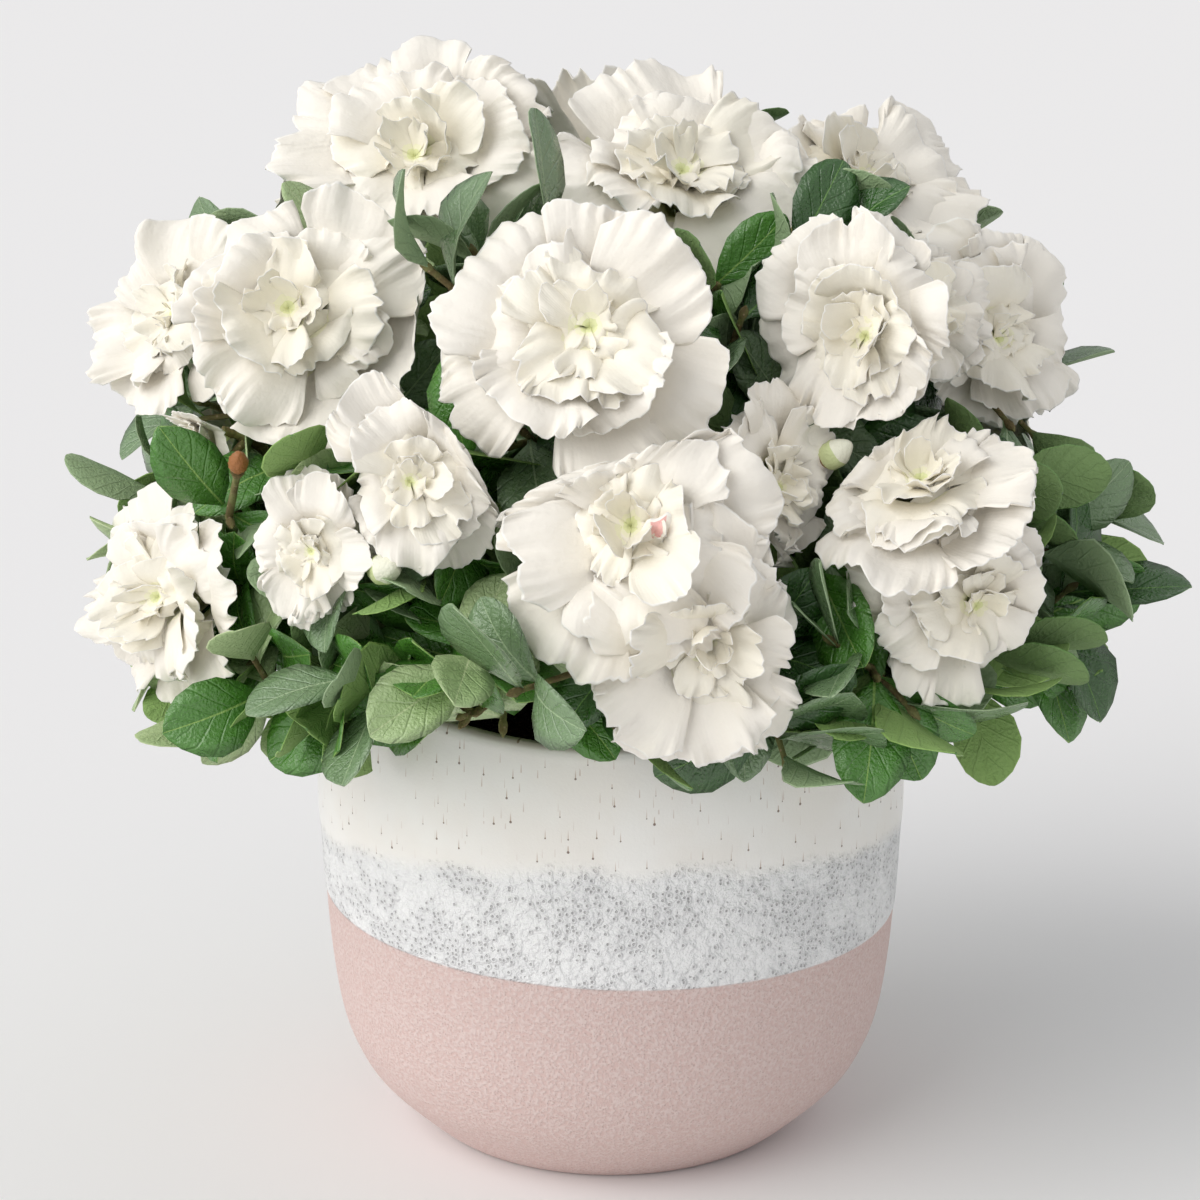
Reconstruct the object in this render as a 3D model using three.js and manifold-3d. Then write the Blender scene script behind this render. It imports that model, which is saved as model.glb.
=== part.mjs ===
// A white double azalea grown as a low round bush, standing in a round stoneware pot.
// Millimetres, +Z up. The origin is the centre of the pot's flat underside, and the front of the
// plant looks along -Y. A short trunk forks into boughs, and each bough ends in one mass of foliage:
// three-sided twigs that fan out from a knot, with whorls of leaves and ruffled blooms fused on.
import * as THREE from "three";
import { mergeVertices } from "three/addons/utils/BufferGeometryUtils.js";
import Module from "manifold-3d";

const wasm = await Module();
wasm.setup();

// Driving sizes of the pot
const POT_HEIGHT = 132;
const POT_FOOT_RADIUS = 49;
const POT_BELLY_RADIUS = 80;
const POT_RIM_RADIUS = 78.7;
const POT_WALL = 5;
const POT_FLOOR = 9;
const POT_SIDES = 36;
const RIM_SWEEP = 10; // how much higher the rim stands at the two sides than at the front and back
const RIM_SWEEP_FROM = 88; // the height where the wall starts to follow that sweep
const SOIL_TOP = 118;
const SOIL_GAP = 0.6;

// Driving sizes of the trunk and boughs
const FIT_GAP = 0.4; // the clearance between neighbouring pieces
const TRUNK_TOP = 150;
const TRUNK_FLARE_RADIUS = 10.5;
const TRUNK_NECK_RADIUS = 6.2;
const TRUNK_LEAN = new THREE.Vector3(3, 2, 0);
const BOUGH_RADIUS = 2.5;
const BOUGH_TIP_RADIUS = 1.6;
const BOUGHS_FROM = 128; // the heights on the trunk between which boughs leave it
const BOUGHS_TO = 149;
const BOUGH_RISE = 1.5; // between the heights on the trunk that are tried
const BOUGH_SWING = 0.15; // between the turns round the trunk that are tried, in radians
const BOUGH_SWINGS = 8; // how many of them to each side
const BOUGH_STEPS = 4;
const BOUGH_SIDES = 5;

// Driving sizes of the crown
const CROWN_CORE = new THREE.Vector3(0, 0, 168);
const CROWN_WIDE = 126; // from the core to the shoot tips, sideways
const CROWN_TALL = 106; // the same, upwards
const CROWN_DEEP = 50; // the same, downwards over the rim
const CROWN_FOOT = 120; // no leaf hangs lower
const CROWN_FOOT_FRONT = -70; // in front of this the foot rises
const CROWN_FOOT_RISE = 0.25; // by this much for each millimetre forwards
const BARE_RIM_MIDDLE = -33; // about this x, no leaf hangs over the front of the rim
const BARE_RIM_HALF = 21;
const BARE_RIM_FOOT = 134; // over it the crown starts here
const OUTER_DEPTH = [0.86, 1]; // the shares of that reach where most shoots end
const INNER_DEPTH = [0.56, 0.76]; // and where every third one ends
const SHOOTS = 84;
const SHOOT_APART = 18; // tips closer than this to an earlier one are left out
const SHOOT_LOWEST = -0.74; // how far down the lowest shoots sit, as a share of CROWN_DEEP
const SHOOT_HIGHEST = 0.97;
const KNOT_RADIUS = 2.8;
const STEM_RADII = [2.2, 1.7]; // the twigs that start at the knot, at their two ends
const TWIG_RADII = [1.5, 1.3]; // the twigs that branch off others
const FORKS = [0.3, 0.55, 0.8]; // the shares of a twig's length where others branch off
const LEAF_LENGTH = 31;
const LEAF_WIDTH_SHARE = 0.58;
const LEAF_KEEL_SHARE = 0.045;
const LEAF_FOLD_SHARE = 0.05;
const LEAF_SUNK = 0.4; // how far a leaf's root goes past the middle of its twig
const LEAF_STEP = 2.4; // along the twig, from one leaf to the next
const SHOOT_SPRAY = { count: 6, near: 1.2, uprightest: 32, flattest: 84 };
const BLOOM_SPRAY = { count: 3, near: 5, uprightest: 70, flattest: 104 };
const LEAF_TRIES = 3;
const LEAF_GAP = 1.2; // between a leaf and the limbs
const LEAF_CLEAR = 7; // the least distance between the midribs of two shoots' leaves
const BLOOM_UNDERSIDE = [[0, -0.62], [0.35, -0.3], [0.65, -0.16], [1.05, -0.12]]; // shares of its radius
const CALYX_DEPTH = 0.56; // from the middle of a bloom's face back to its stem
const BLOOM_REACH = 0.98; // leaves keep clear of a bloom within this share of its radius
const BLOOM_FRONT = 1.2; // and as far before its face
const SIMPLIFY = 0.04; // edges shorter than this are closed up
const CELL_GAP = 0.5; // half the free space between two masses
const SKIRT_WEIGHT = 40; // a mass without a wide bloom claims space as if it had one this wide
const GOLDEN_ANGLE = 2.399963;
const SEED = 20817;

// The blooms of each mass. at is the middle of the bloom's face, across its diameter, and it faces
// turn degrees round from the front (towards +X) and lift degrees above level.
const MASSES = [
  { name: "top_left", blooms: [{ at: [-48, 10, 272], across: 66, turn: -14, lift: 36 }] },
  { name: "top", blooms: [{ at: [20, -5, 268], across: 66, turn: 6, lift: 52 }] },
  { name: "top_right", blooms: [{ at: [68, 22, 260], across: 58, turn: 24, lift: 48 }] },
  {
    name: "left_high",
    blooms: [
      { at: [-116, -8, 228], across: 52, turn: -42, lift: 24 },
      { at: [-77, -44, 235], across: 66, turn: -12, lift: 20 },
    ],
  },
  { name: "centre", blooms: [{ at: [-9, -82, 237], across: 76, turn: 0, lift: 26 }] },
  {
    name: "right_high",
    blooms: [
      { at: [60, -66, 241], across: 54, turn: -20, lift: 12 },
      { at: [41, -80, 204], across: 42, turn: 32, lift: 10 },
    ],
  },
  {
    name: "right_far",
    blooms: [
      { at: [104, -10, 227], across: 62, turn: 36, lift: 14 },
      { at: [80, -36, 236], across: 42, turn: 26, lift: 20 },
    ],
  },
  {
    name: "left_mid",
    blooms: [
      { at: [-46, -98, 208], across: 47, turn: -5, lift: 14 },
      { at: [-74, -92, 188], across: 38, turn: -16, lift: 8 },
    ],
  },
  {
    name: "left_low",
    blooms: [
      { at: [-114, -58, 165], across: 58, turn: -46, lift: 4 },
      { at: [-107, -34, 203], across: 30, turn: -66, lift: 2 },
    ],
  },
  {
    name: "front",
    blooms: [
      { at: [5, -112, 197], across: 64, turn: -8, lift: 24 },
      { at: [19, -115, 169], across: 60, turn: 6, lift: 2 },
    ],
  },
  {
    name: "right_mid",
    blooms: [
      { at: [76, -84, 201], across: 56, turn: 4, lift: 52 },
      { at: [86, -90, 177], across: 52, turn: 12, lift: 8 },
    ],
  },
  {
    name: "back_left",
    blooms: [
      { at: [-82, 62, 234], across: 62, turn: -138, lift: 30 },
      { at: [-110, 50, 184], across: 54, turn: -112, lift: 8 },
    ],
  },
  { name: "back_top", blooms: [{ at: [-2, 66, 258], across: 66, turn: 178, lift: 42 }] },
  {
    name: "back_right",
    blooms: [
      { at: [74, 74, 230], across: 60, turn: 138, lift: 26 },
      { at: [108, 54, 182], across: 56, turn: 116, lift: 8 },
    ],
  },
  { name: "skirt_front", middle: [-34, -92, 146], blooms: [] },
  { name: "skirt_left", middle: [-98, -2, 142], blooms: [] },
  { name: "skirt_right", middle: [104, -8, 154], blooms: [] },
  { name: "skirt_back_left", middle: [-66, 74, 146], blooms: [] },
  { name: "skirt_back_right", middle: [62, 80, 144], blooms: [] },
  {
    name: "back_low",
    blooms: [
      { at: [-42, 106, 196], across: 60, turn: -162, lift: 12 },
      { at: [32, 110, 178], across: 56, turn: 166, lift: 6 },
    ],
  },
];

// The tips of shoots that stand out of the round crown.
const OUTER_SHOOTS = [
  [-110, -14, 190],
  [-112, 22, 198],
  [-104, -40, 192],
  [-100, -50, 134],
  [-86, -72, 144],
  [-96, -64, 186],
  [119, -6, 174],
  [116, 24, 186],
  [114, -34, 196],
  [118, -30, 176],
  [114, -34, 150],
  [96, -62, 144],
  [56, -30, 254],
  [70, -20, 256],
  [28, -40, 244],
  [37, -44, 228],
  [-36, -28, 242],
  [-54, -62, 220],
  [-48, -78, 216],
  [-28, -88, 200],
  [-77, -80, 166],
  [-60, -92, 166],
  [-40, -96, 168],
  [48, -84, 180],
  [66, -94, 152],
  [8, -92, 148],
  [-14, -94, 154],
  [44, -90, 148],
  [-52, -80, 145],
  [-17, -84, 143],
];

const UP = new THREE.Vector3(0, 0, 1);
const vector = (list) => new THREE.Vector3(...list);

// A seeded row of draws from 0 to 1, one row for each thing that grows.
function drawsFor(number) {
  let state = (SEED + Math.imul(number + 1, 2654435761)) >>> 0;
  return () => {
    state = (Math.imul(state, 1664525) + 1013904223) >>> 0;
    return state / 4294967296;
  };
}

function facingOf(turn, lift) {
  const a = THREE.MathUtils.degToRad(turn);
  const e = THREE.MathUtils.degToRad(lift);
  return new THREE.Vector3(Math.sin(a) * Math.cos(e), -Math.cos(a) * Math.cos(e), Math.sin(e));
}

// A closed three.js geometry as a solid that can be joined and cut.
function solidOf(geometry) {
  const bare = geometry.clone();
  bare.deleteAttribute("normal");
  bare.deleteAttribute("uv");
  const merged = mergeVertices(bare, 1e-3);
  return new wasm.Manifold(
    new wasm.Mesh({
      numProp: 3,
      vertProperties: merged.attributes.position.array,
      triVerts: new Uint32Array(merged.index.array),
    }),
  );
}

const GRID = 1000; // the grid steps in a millimetre on which corners have to stay apart
const LEAST_EDGE = 0.005;
const LEAST_HEIGHT = 0.0002; // of a triangle over its longest edge

// Whether a body has no slivers and stays closed when its corners are rounded to the grid.
function isSound(body) {
  const mesh = body.getMesh();
  const keys = [];
  const corners = [];
  for (let i = 0; i < mesh.numVert; i++) {
    const corner = mesh.vertProperties.subarray(i * mesh.numProp, i * mesh.numProp + 3);
    corners.push(vector(corner));
    keys.push([...corner].map((value) => Math.round(value * GRID)).join());
  }
  const edges = new Set();
  for (let i = 0; i < mesh.triVerts.length; i += 3) {
    const abc = [...mesh.triVerts.subarray(i, i + 3)];
    const lengths = abc.map((from, k) => corners[from].distanceTo(corners[abc[(k + 1) % 3]]));
    const triangle = new THREE.Triangle(...abc.map((corner) => corners[corner]));
    const longest = Math.max(...lengths);
    if (Math.min(...lengths) < LEAST_EDGE) return false;
    if ((2 * triangle.getArea()) / longest < LEAST_HEIGHT) return false;
    for (let k = 0; k < 3; k++) {
      const edge = `${keys[abc[k]]}>${keys[abc[(k + 1) % 3]]}`;
      if (edges.has(edge)) return false;
      edges.add(edge);
    }
  }
  return true;
}

const NUDGES = [
  [0, 0, 0],
  [0.09, 0.04, -0.06],
  [-0.07, 0.1, 0.05],
  [0.05, -0.11, 0.09],
];

// Joins parts one after another. Hollows between them are filled. A part that would not join
// soundly is nudged a little, and left out if that doesn't help or if it stays loose.
function joined(first, parts) {
  let solid = first;
  for (const part of parts) {
    for (const nudge of NUDGES) {
      const bodies = solid.add(part.translate(nudge)).simplify(SIMPLIFY).decompose();
      const full = bodies.filter((body) => body.volume() > 0);
      if (full.length !== 1) break;
      if (isSound(full[0])) {
        solid = full[0];
        break;
      }
    }
  }
  return solid;
}

function geometryOf(solid) {
  const mesh = solid.getMesh();
  const positions = [];
  for (let i = 0; i < mesh.numVert; i++) {
    const start = i * mesh.numProp;
    positions.push(...mesh.vertProperties.subarray(start, start + 3));
  }
  const geometry = new THREE.BufferGeometry();
  geometry.setAttribute("position", new THREE.Float32BufferAttribute(positions, 3));
  geometry.setIndex([...mesh.triVerts]);
  geometry.computeVertexNormals();
  return geometry;
}

// A tapering limb along a curve: rings of corners, each turned with the curve, and two flat ends.
function limbGeometry(curve, radiusAt, steps, sides) {
  const frames = curve.computeFrenetFrames(steps, false);
  const positions = [];
  const faces = [];
  for (let i = 0; i <= steps; i++) {
    const share = i / steps;
    const middle = curve.getPoint(share);
    for (let k = 0; k < sides; k++) {
      const angle = (2 * Math.PI * k) / sides;
      const corner = middle
        .clone()
        .addScaledVector(frames.normals[i], radiusAt(share) * Math.cos(angle))
        .addScaledVector(frames.binormals[i], radiusAt(share) * Math.sin(angle));
      positions.push(corner.x, corner.y, corner.z);
    }
  }
  for (let i = 0; i < steps; i++) {
    for (let k = 0; k < sides; k++) {
      const a = i * sides + k;
      const b = i * sides + ((k + 1) % sides);
      faces.push(a, b, a + sides, b, b + sides, a + sides);
    }
  }
  for (let k = 1; k < sides - 1; k++) {
    const last = steps * sides;
    faces.push(0, k + 1, k, last, last + k, last + k + 1);
  }
  const geometry = new THREE.BufferGeometry();
  geometry.setAttribute("position", new THREE.Float32BufferAttribute(positions, 3));
  geometry.setIndex(faces);
  geometry.computeVertexNormals();
  return geometry;
}

// How much higher the rim stands at this angle round the pot, at this height on the wall.
function rimSweep(x, y, height) {
  const share = THREE.MathUtils.smoothstep(height, RIM_SWEEP_FROM, POT_HEIGHT);
  const across = Math.hypot(x, y);
  return across > 0 ? share * RIM_SWEEP * (x / across) ** 2 : 0;
}

// A profile turned round the Z axis.
function turned(profile, sides) {
  const points = profile.map(([radius, height]) => new THREE.Vector2(radius, height));
  return new THREE.LatheGeometry(points, sides).rotateX(Math.PI / 2);
}

// The pot's wall: the radius of its outside at the heights where the outline bends.
const POT_OUTSIDE = [
  [POT_FOOT_RADIUS, 0],
  [POT_FOOT_RADIUS + 2.4, 1.2],
  [57, 6],
  [67, 16],
  [72.2, 25],
  [75.4, 35],
  [77.6, 50],
  [79, 68],
  [POT_BELLY_RADIUS, 92],
  [79.8, 112],
  [POT_RIM_RADIUS, POT_HEIGHT - 2.4],
];

function potOutsideRadius(height) {
  let i = 1;
  while (i < POT_OUTSIDE.length - 1 && POT_OUTSIDE[i][1] < height) i++;
  const [lowRadius, low] = POT_OUTSIDE[i - 1];
  const [highRadius, high] = POT_OUTSIDE[i];
  return THREE.MathUtils.mapLinear(height, low, high, lowRadius, highRadius);
}

function makePot() {
  const lip = [
    [POT_RIM_RADIUS - 1.2, POT_HEIGHT - 0.3],
    [POT_RIM_RADIUS - POT_WALL / 2, POT_HEIGHT],
    [POT_RIM_RADIUS - POT_WALL, POT_HEIGHT - 2],
  ];
  const inside = [112, 68, 35, 16].map((h) => [potOutsideRadius(h) - POT_WALL, h]);
  const profile = [[0, 0], ...POT_OUTSIDE, ...lip, ...inside, [50, POT_FLOOR], [0, POT_FLOOR]];
  const geometry = turned(profile, POT_SIDES);
  const position = geometry.attributes.position;
  for (let i = 0; i < position.count; i++) {
    const [x, y, z] = [position.getX(i), position.getY(i), position.getZ(i)];
    position.setZ(i, z + rimSweep(x, y, z));
  }
  return geometry;
}

// The root ball: it fills the pot to a low mound, flat in the middle where the trunk stands.
function makeSoil() {
  const wall = [16, 35, 68, 100].map((h) => [potOutsideRadius(h) - POT_WALL - SOIL_GAP - 0.6, h]);
  const profile = [
    [0, POT_FLOOR + SOIL_GAP],
    [49, POT_FLOOR + SOIL_GAP],
    ...wall,
    [72, SOIL_TOP - 6],
    [66, SOIL_TOP - 3],
    [40, SOIL_TOP - 1],
    [16, SOIL_TOP],
    [0, SOIL_TOP],
  ];
  return turned(profile, 24);
}

const TRUNK_FOOT = new THREE.Vector3(0, 0, SOIL_TOP + FIT_GAP);
const TRUNK_HEAD = new THREE.Vector3(TRUNK_LEAN.x, TRUNK_LEAN.y, TRUNK_TOP);

function trunkRadiusAt(share) {
  const flare = Math.exp(-share * 7);
  const fork = 0.7 * THREE.MathUtils.smoothstep(share, 0.7, 1);
  return TRUNK_NECK_RADIUS + (TRUNK_FLARE_RADIUS - TRUNK_NECK_RADIUS) * flare + fork;
}

function makeTrunk() {
  const middle = TRUNK_FOOT.clone().lerp(TRUNK_HEAD, 0.5).add(new THREE.Vector3(-1, 0.5, 0));
  const curve = new THREE.QuadraticBezierCurve3(
    TRUNK_FOOT,
    new THREE.Vector3(TRUNK_FOOT.x, TRUNK_FOOT.y, middle.z),
    TRUNK_HEAD,
  );
  const geometry = limbGeometry(curve, trunkRadiusAt, 6, 9);
  const position = geometry.attributes.position;
  for (let i = 0; i < 9; i++) position.setZ(i, TRUNK_FOOT.z);
  return geometry;
}

// Each mass owns the space that is nearest to its middle, counting wide blooms as nearer.
for (const mass of MASSES) {
  if (mass.blooms.length > 0) {
    const sum = new THREE.Vector3();
    mass.blooms.forEach((bloom) => sum.add(vector(bloom.at)));
    mass.middle = sum.divideScalar(mass.blooms.length);
  } else {
    mass.middle = vector(mass.middle);
  }
  const widest = Math.max(SKIRT_WEIGHT, ...mass.blooms.map((bloom) => bloom.across));
  mass.weight = (widest / 2) ** 2;
}

// How far inside its mass's space a point lies; negative outside.
function depthIn(mass, point) {
  let least = Infinity;
  for (const other of MASSES) {
    if (other === mass) continue;
    const apart = other.middle.distanceTo(mass.middle);
    const own = point.distanceToSquared(mass.middle) - mass.weight;
    const theirs = point.distanceToSquared(other.middle) - other.weight;
    least = Math.min(least, (theirs - own) / (2 * apart));
  }
  return least - CELL_GAP;
}

// The share of a step from a point inside the space that can be taken before leaving it.
function roomAlong(mass, from, step) {
  const start = depthIn(mass, from);
  let share = 1;
  for (let tries = 0; tries < 12 && depthIn(mass, from.clone().addScaledVector(step, share)) < 0; tries++) {
    share *= 0.85;
  }
  return start < 0 ? 0 : share;
}

const massAt = (point) =>
  MASSES.reduce((best, mass) => (depthIn(mass, point) > depthIn(best, point) ? mass : best));

const boughRadiusAt = (share) => THREE.MathUtils.lerp(BOUGH_RADIUS, BOUGH_TIP_RADIUS, share);

// The knot of a mass: as far in towards the trunk as the mass's own space allows.
function knotOf(mass) {
  const knot = new THREE.Vector3();
  for (let share = 0.5; share < 1; share += 0.04) {
    knot.lerpVectors(TRUNK_HEAD, mass.middle, share);
    if (depthIn(mass, knot) >= KNOT_RADIUS + 1.5) break;
  }
  return knot;
}

// A bough from the trunk's side at a height, turned a little round the trunk, to the knot's near side.
function boughCurve(knot, height, turn) {
  const rise = (height - TRUNK_FOOT.z) / (TRUNK_TOP - TRUNK_FOOT.z);
  const axis = TRUNK_FOOT.clone().lerp(TRUNK_HEAD, rise);
  const outward = knot.clone().sub(axis).setZ(0).normalize().applyAxisAngle(UP, turn);
  const start = axis.addScaledVector(outward, TRUNK_NECK_RADIUS + BOUGH_RADIUS + 1.5);
  const bend = start.clone().lerp(knot, 0.4).addScaledVector(outward, 8).add(new THREE.Vector3(0, 0, 4));
  const along = knot.clone().sub(bend).normalize();
  const tip = knot.clone().addScaledVector(along, -KNOT_RADIUS - FIT_GAP);
  return new THREE.QuadraticBezierCurve3(start, bend, tip);
}

function boughsClear(curve, others) {
  const steps = 24;
  for (let i = 0; i <= steps; i++) {
    const point = curve.getPoint(i / steps);
    for (const other of others) {
      for (let k = 0; k <= steps; k++) {
        const least = boughRadiusAt(i / steps) + boughRadiusAt(k / steps) + 2 * FIT_GAP;
        if (point.distanceTo(other.getPoint(k / steps)) < least) return false;
      }
    }
  }
  return true;
}

// Whether a mass's bough passes the stems of all other masses.
function clearOfStems(mass, curve) {
  const steps = 24;
  const stemSteps = 16;
  for (const other of MASSES) {
    if (other === mass) continue;
    for (const stem of other.stems) {
      for (let k = 0; k <= stemSteps; k++) {
        const point = stem.getPoint(k / stemSteps);
        for (let i = 0; i <= steps; i++) {
          const least = boughRadiusAt(i / steps) + KNOT_RADIUS + FIT_GAP;
          if (point.distanceTo(curve.getPoint(i / steps)) < least) return false;
        }
      }
    }
  }
  return true;
}

// A stem leaves the knot and arrives at its end along a given direction.
function stemCurve(from, to, along) {
  const bend = to.clone().addScaledVector(along, -0.3 * from.distanceTo(to));
  return new THREE.QuadraticBezierCurve3(from, bend, to);
}

// The stems that start at a mass's knot: one to each bloom, or one to the middle of the mass.
function stemsOf(mass) {
  if (mass.blooms.length === 0) {
    const outward = mass.middle.clone().sub(mass.knot).normalize();
    return [stemCurve(mass.knot, mass.middle, outward)];
  }
  return mass.blooms.map((bloom) => {
    const facing = facingOf(bloom.turn, bloom.lift);
    const sunk = 2 - (CALYX_DEPTH * bloom.across) / 2;
    return stemCurve(mass.knot, vector(bloom.at).addScaledVector(facing, sunk), facing);
  });
}

// Boughs leave the trunk low for low masses and high for high ones, clear of one another.
function placeBoughs() {
  const placed = [];
  const byHeight = [...MASSES].sort((a, b) => a.middle.z - b.middle.z);
  for (const mass of MASSES) {
    mass.knot = knotOf(mass);
    mass.stems = stemsOf(mass);
  }
  byHeight.forEach((mass, rank) => {
    const wished = THREE.MathUtils.lerp(BOUGHS_FROM, BOUGHS_TO, rank / (byHeight.length - 1));
    const choices = [];
    for (let swing = -BOUGH_SWINGS; swing <= BOUGH_SWINGS; swing++) {
      const turn = swing * BOUGH_SWING;
      for (let height = BOUGHS_FROM; height <= BOUGHS_TO; height += BOUGH_RISE) {
        choices.push({ turn, height, cost: Math.abs(height - wished) + 9 * Math.abs(turn) });
      }
    }
    choices.sort((a, b) => a.cost - b.cost);
    for (const { turn, height } of choices) {
      mass.bough = boughCurve(mass.knot, height, turn);
      if (boughsClear(mass.bough, placed) && clearOfStems(mass, mass.bough)) break;
    }
    placed.push(mass.bough);
  });
}
placeBoughs();

// Points along every limb with the limb's radius there, for keeping leaves off the wood.
const LIMB_POINTS = MASSES.flatMap((mass) =>
  mass.bough.getSpacedPoints(14).map((point, i) => ({ point, radius: boughRadiusAt(i / 14) })),
);
for (let z = TRUNK_FOOT.z; z < TRUNK_TOP; z += 4) {
  LIMB_POINTS.push({ point: new THREE.Vector3(1, 1, z), radius: TRUNK_FLARE_RADIUS });
}

function touchesLimb(point, margin) {
  return LIMB_POINTS.some((limb) => limb.point.distanceTo(point) < limb.radius + margin);
}

function touchesPot(point) {
  const across = Math.hypot(point.x, point.y);
  const rim = POT_HEIGHT + rimSweep(point.x, point.y, POT_HEIGHT);
  const overWall = point.z < rim + 1.2 && across < POT_BELLY_RADIUS + 1.5;
  return overWall && (across > POT_RIM_RADIUS - POT_WALL - 2.5 || point.z < SOIL_TOP + 2);
}

const isFree = (mass, point, margin) =>
  depthIn(mass, point) > 0 && !touchesLimb(point, margin) && !touchesPot(point);

// Whether a point hangs lower than the crown does; over the pot's front it hangs less low, and one
// stretch of the rim is left bare.
function isBelowCrown(point) {
  const ahead = Math.max(CROWN_FOOT_FRONT - point.y, 0);
  const overBareRim = ahead > 0 && Math.abs(point.x - BARE_RIM_MIDDLE) < BARE_RIM_HALF;
  return point.z < (overBareRim ? BARE_RIM_FOOT : CROWN_FOOT) + CROWN_FOOT_RISE * ahead;
}

// Whether a point lies among the petals of a bloom or close before its face.
function isInBloom(point) {
  for (const mass of MASSES) {
    for (const bloom of mass.blooms) {
      const apart = point.clone().sub(vector(bloom.at)).divideScalar(bloom.across / 2);
      const ahead = apart.dot(facingOf(bloom.turn, bloom.lift));
      const aside = Math.sqrt(Math.max(apart.lengthSq() - ahead ** 2, 0));
      const underside = bloomUnderside(aside);
      if (aside < BLOOM_REACH && ahead > underside && ahead < BLOOM_FRONT) return true;
    }
  }
  return false;
}

// How far behind its face's middle a bloom's petals reach, at a share of its radius from its axis.
function bloomUnderside(aside) {
  const next = BLOOM_UNDERSIDE.findIndex(([radius]) => radius > aside);
  if (next < 0) return BLOOM_UNDERSIDE.at(-1)[1];
  const [[nearRadius, nearHeight], [farRadius, farHeight]] = BLOOM_UNDERSIDE.slice(next - 1, next + 1);
  const share = (aside - nearRadius) / (farRadius - nearRadius);
  return THREE.MathUtils.lerp(nearHeight, farHeight, share);
}

// A leaf along +Z with its upper side to +Y: a pointed outline folded along its middle, where the
// midrib makes a keel underneath.
const LEAF_HALF = LEAF_WIDTH_SHARE / 2;
const LEAF_CORNERS = [
  [0, 0, 0],
  [LEAF_HALF, LEAF_FOLD_SHARE, 0.55],
  [-LEAF_HALF, LEAF_FOLD_SHARE, 0.55],
  [0, -LEAF_KEEL_SHARE, 0.5],
  [0, 0, 1],
];
function leafTemplate() {
  const geometry = new THREE.BufferGeometry();
  geometry.setAttribute("position", new THREE.Float32BufferAttribute(LEAF_CORNERS.flat(), 3));
  geometry.setIndex([0, 2, 1, 4, 1, 2, 0, 1, 3, 0, 3, 2, 4, 3, 1, 4, 2, 3]);
  return geometry;
}
const LEAF = leafTemplate();
// Where a leaf is tested for room: its corners and the middles of its two longest edges.
const LEAF_OUTLINE = [
  ...LEAF_CORNERS.slice(1),
  [LEAF_HALF / 2, 0, 0.78],
  [-LEAF_HALF / 2, 0, 0.78],
].map(vector);

function placement(origin, along, upper, size) {
  const z = along.clone().normalize();
  const x = new THREE.Vector3().crossVectors(upper, z).normalize();
  const y = new THREE.Vector3().crossVectors(z, x);
  return new THREE.Matrix4()
    .makeBasis(x, y, z)
    .scale(new THREE.Vector3(size, size, size))
    .setPosition(origin);
}

const leafMiddles = [];

// A leaf's solid, or null where it would leave its mass's space or the crown, cross a leaf of another
// shoot or a bloom, or touch wood or the pot.
function leafSolid(mass, root, along, upper, length, shoot) {
  const middles = [0.4, 0.65, 0.9].map((share) => root.clone().addScaledVector(along, share * length));
  const crosses = ({ point, of }) =>
    of !== shoot && middles.some((middle) => middle.distanceTo(point) < LEAF_CLEAR);
  if (leafMiddles.some(crosses)) return null;
  const start = root.clone().addScaledVector(along, -LEAF_SUNK);
  const matrix = placement(start, along, upper, length);
  for (const outer of LEAF_OUTLINE) {
    const corner = outer.clone().applyMatrix4(matrix);
    for (const share of [0.25, 0.5, 0.75, 1]) {
      const point = root.clone().lerp(corner, share);
      if (!isFree(mass, point, LEAF_GAP) || isBelowCrown(point) || isInBloom(point)) return null;
    }
  }
  leafMiddles.push(...middles.map((point) => ({ point, of: shoot })));
  return solidOf(LEAF.clone().applyMatrix4(matrix));
}

// Leaves set spirally down the end of a twig: the first stands up most, the last lies flattest. A
// leaf without room is tried again at another angle. near is the way from the twig's end to the
// first leaf, and flattest the last leaf's angle to the twig in degrees.
function spray(mass, twig, { count, near, uprightest, flattest }, draw) {
  const end = twig.getPoint(1);
  const along = end.clone().sub(twig.getPoint(0.5)).normalize();
  const side = Math.abs(along.z) < 0.9 ? UP : new THREE.Vector3(0, 1, 0);
  const first = new THREE.Vector3().crossVectors(along, side).normalize();
  const second = new THREE.Vector3().crossVectors(along, first);
  const turn = draw() * 2 * Math.PI;
  const solids = [];
  for (let k = 0; k < count; k++) {
    const root = end.clone().addScaledVector(along, -near - LEAF_STEP * k);
    for (let tries = 0; tries < LEAF_TRIES; tries++) {
      const angle = turn + k * GOLDEN_ANGLE + (0.3 + tries) * (draw() - 0.5);
      const lean = THREE.MathUtils.lerp(uprightest, flattest, (k + draw() - 0.5) / (count - 1));
      const spread = THREE.MathUtils.degToRad(lean);
      const length = LEAF_LENGTH * (0.82 + 0.28 * draw());
      const direction = along
        .clone()
        .multiplyScalar(Math.cos(spread))
        .addScaledVector(first, Math.sin(spread) * Math.cos(angle))
        .addScaledVector(second, Math.sin(spread) * Math.sin(angle));
      const leaf = leafSolid(mass, root, direction, along, length, twig);
      if (leaf) solids.push(leaf);
      if (leaf) break;
    }
  }
  return solids;
}

function twigSolid(curve, [thick, thin], steps) {
  const radiusAt = (share) => THREE.MathUtils.lerp(thick, thin, share);
  return solidOf(limbGeometry(curve, radiusAt, steps, 3));
}

// A point inside the wood of a stem, which is made of two straight lengths.
function insideStem(curve, share) {
  const [low, high] = share < 0.5 ? [0, 0.5] : [0.5, 1];
  return curve.getPoint(low).lerp(curve.getPoint(high), (share - low) * 2);
}

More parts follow.
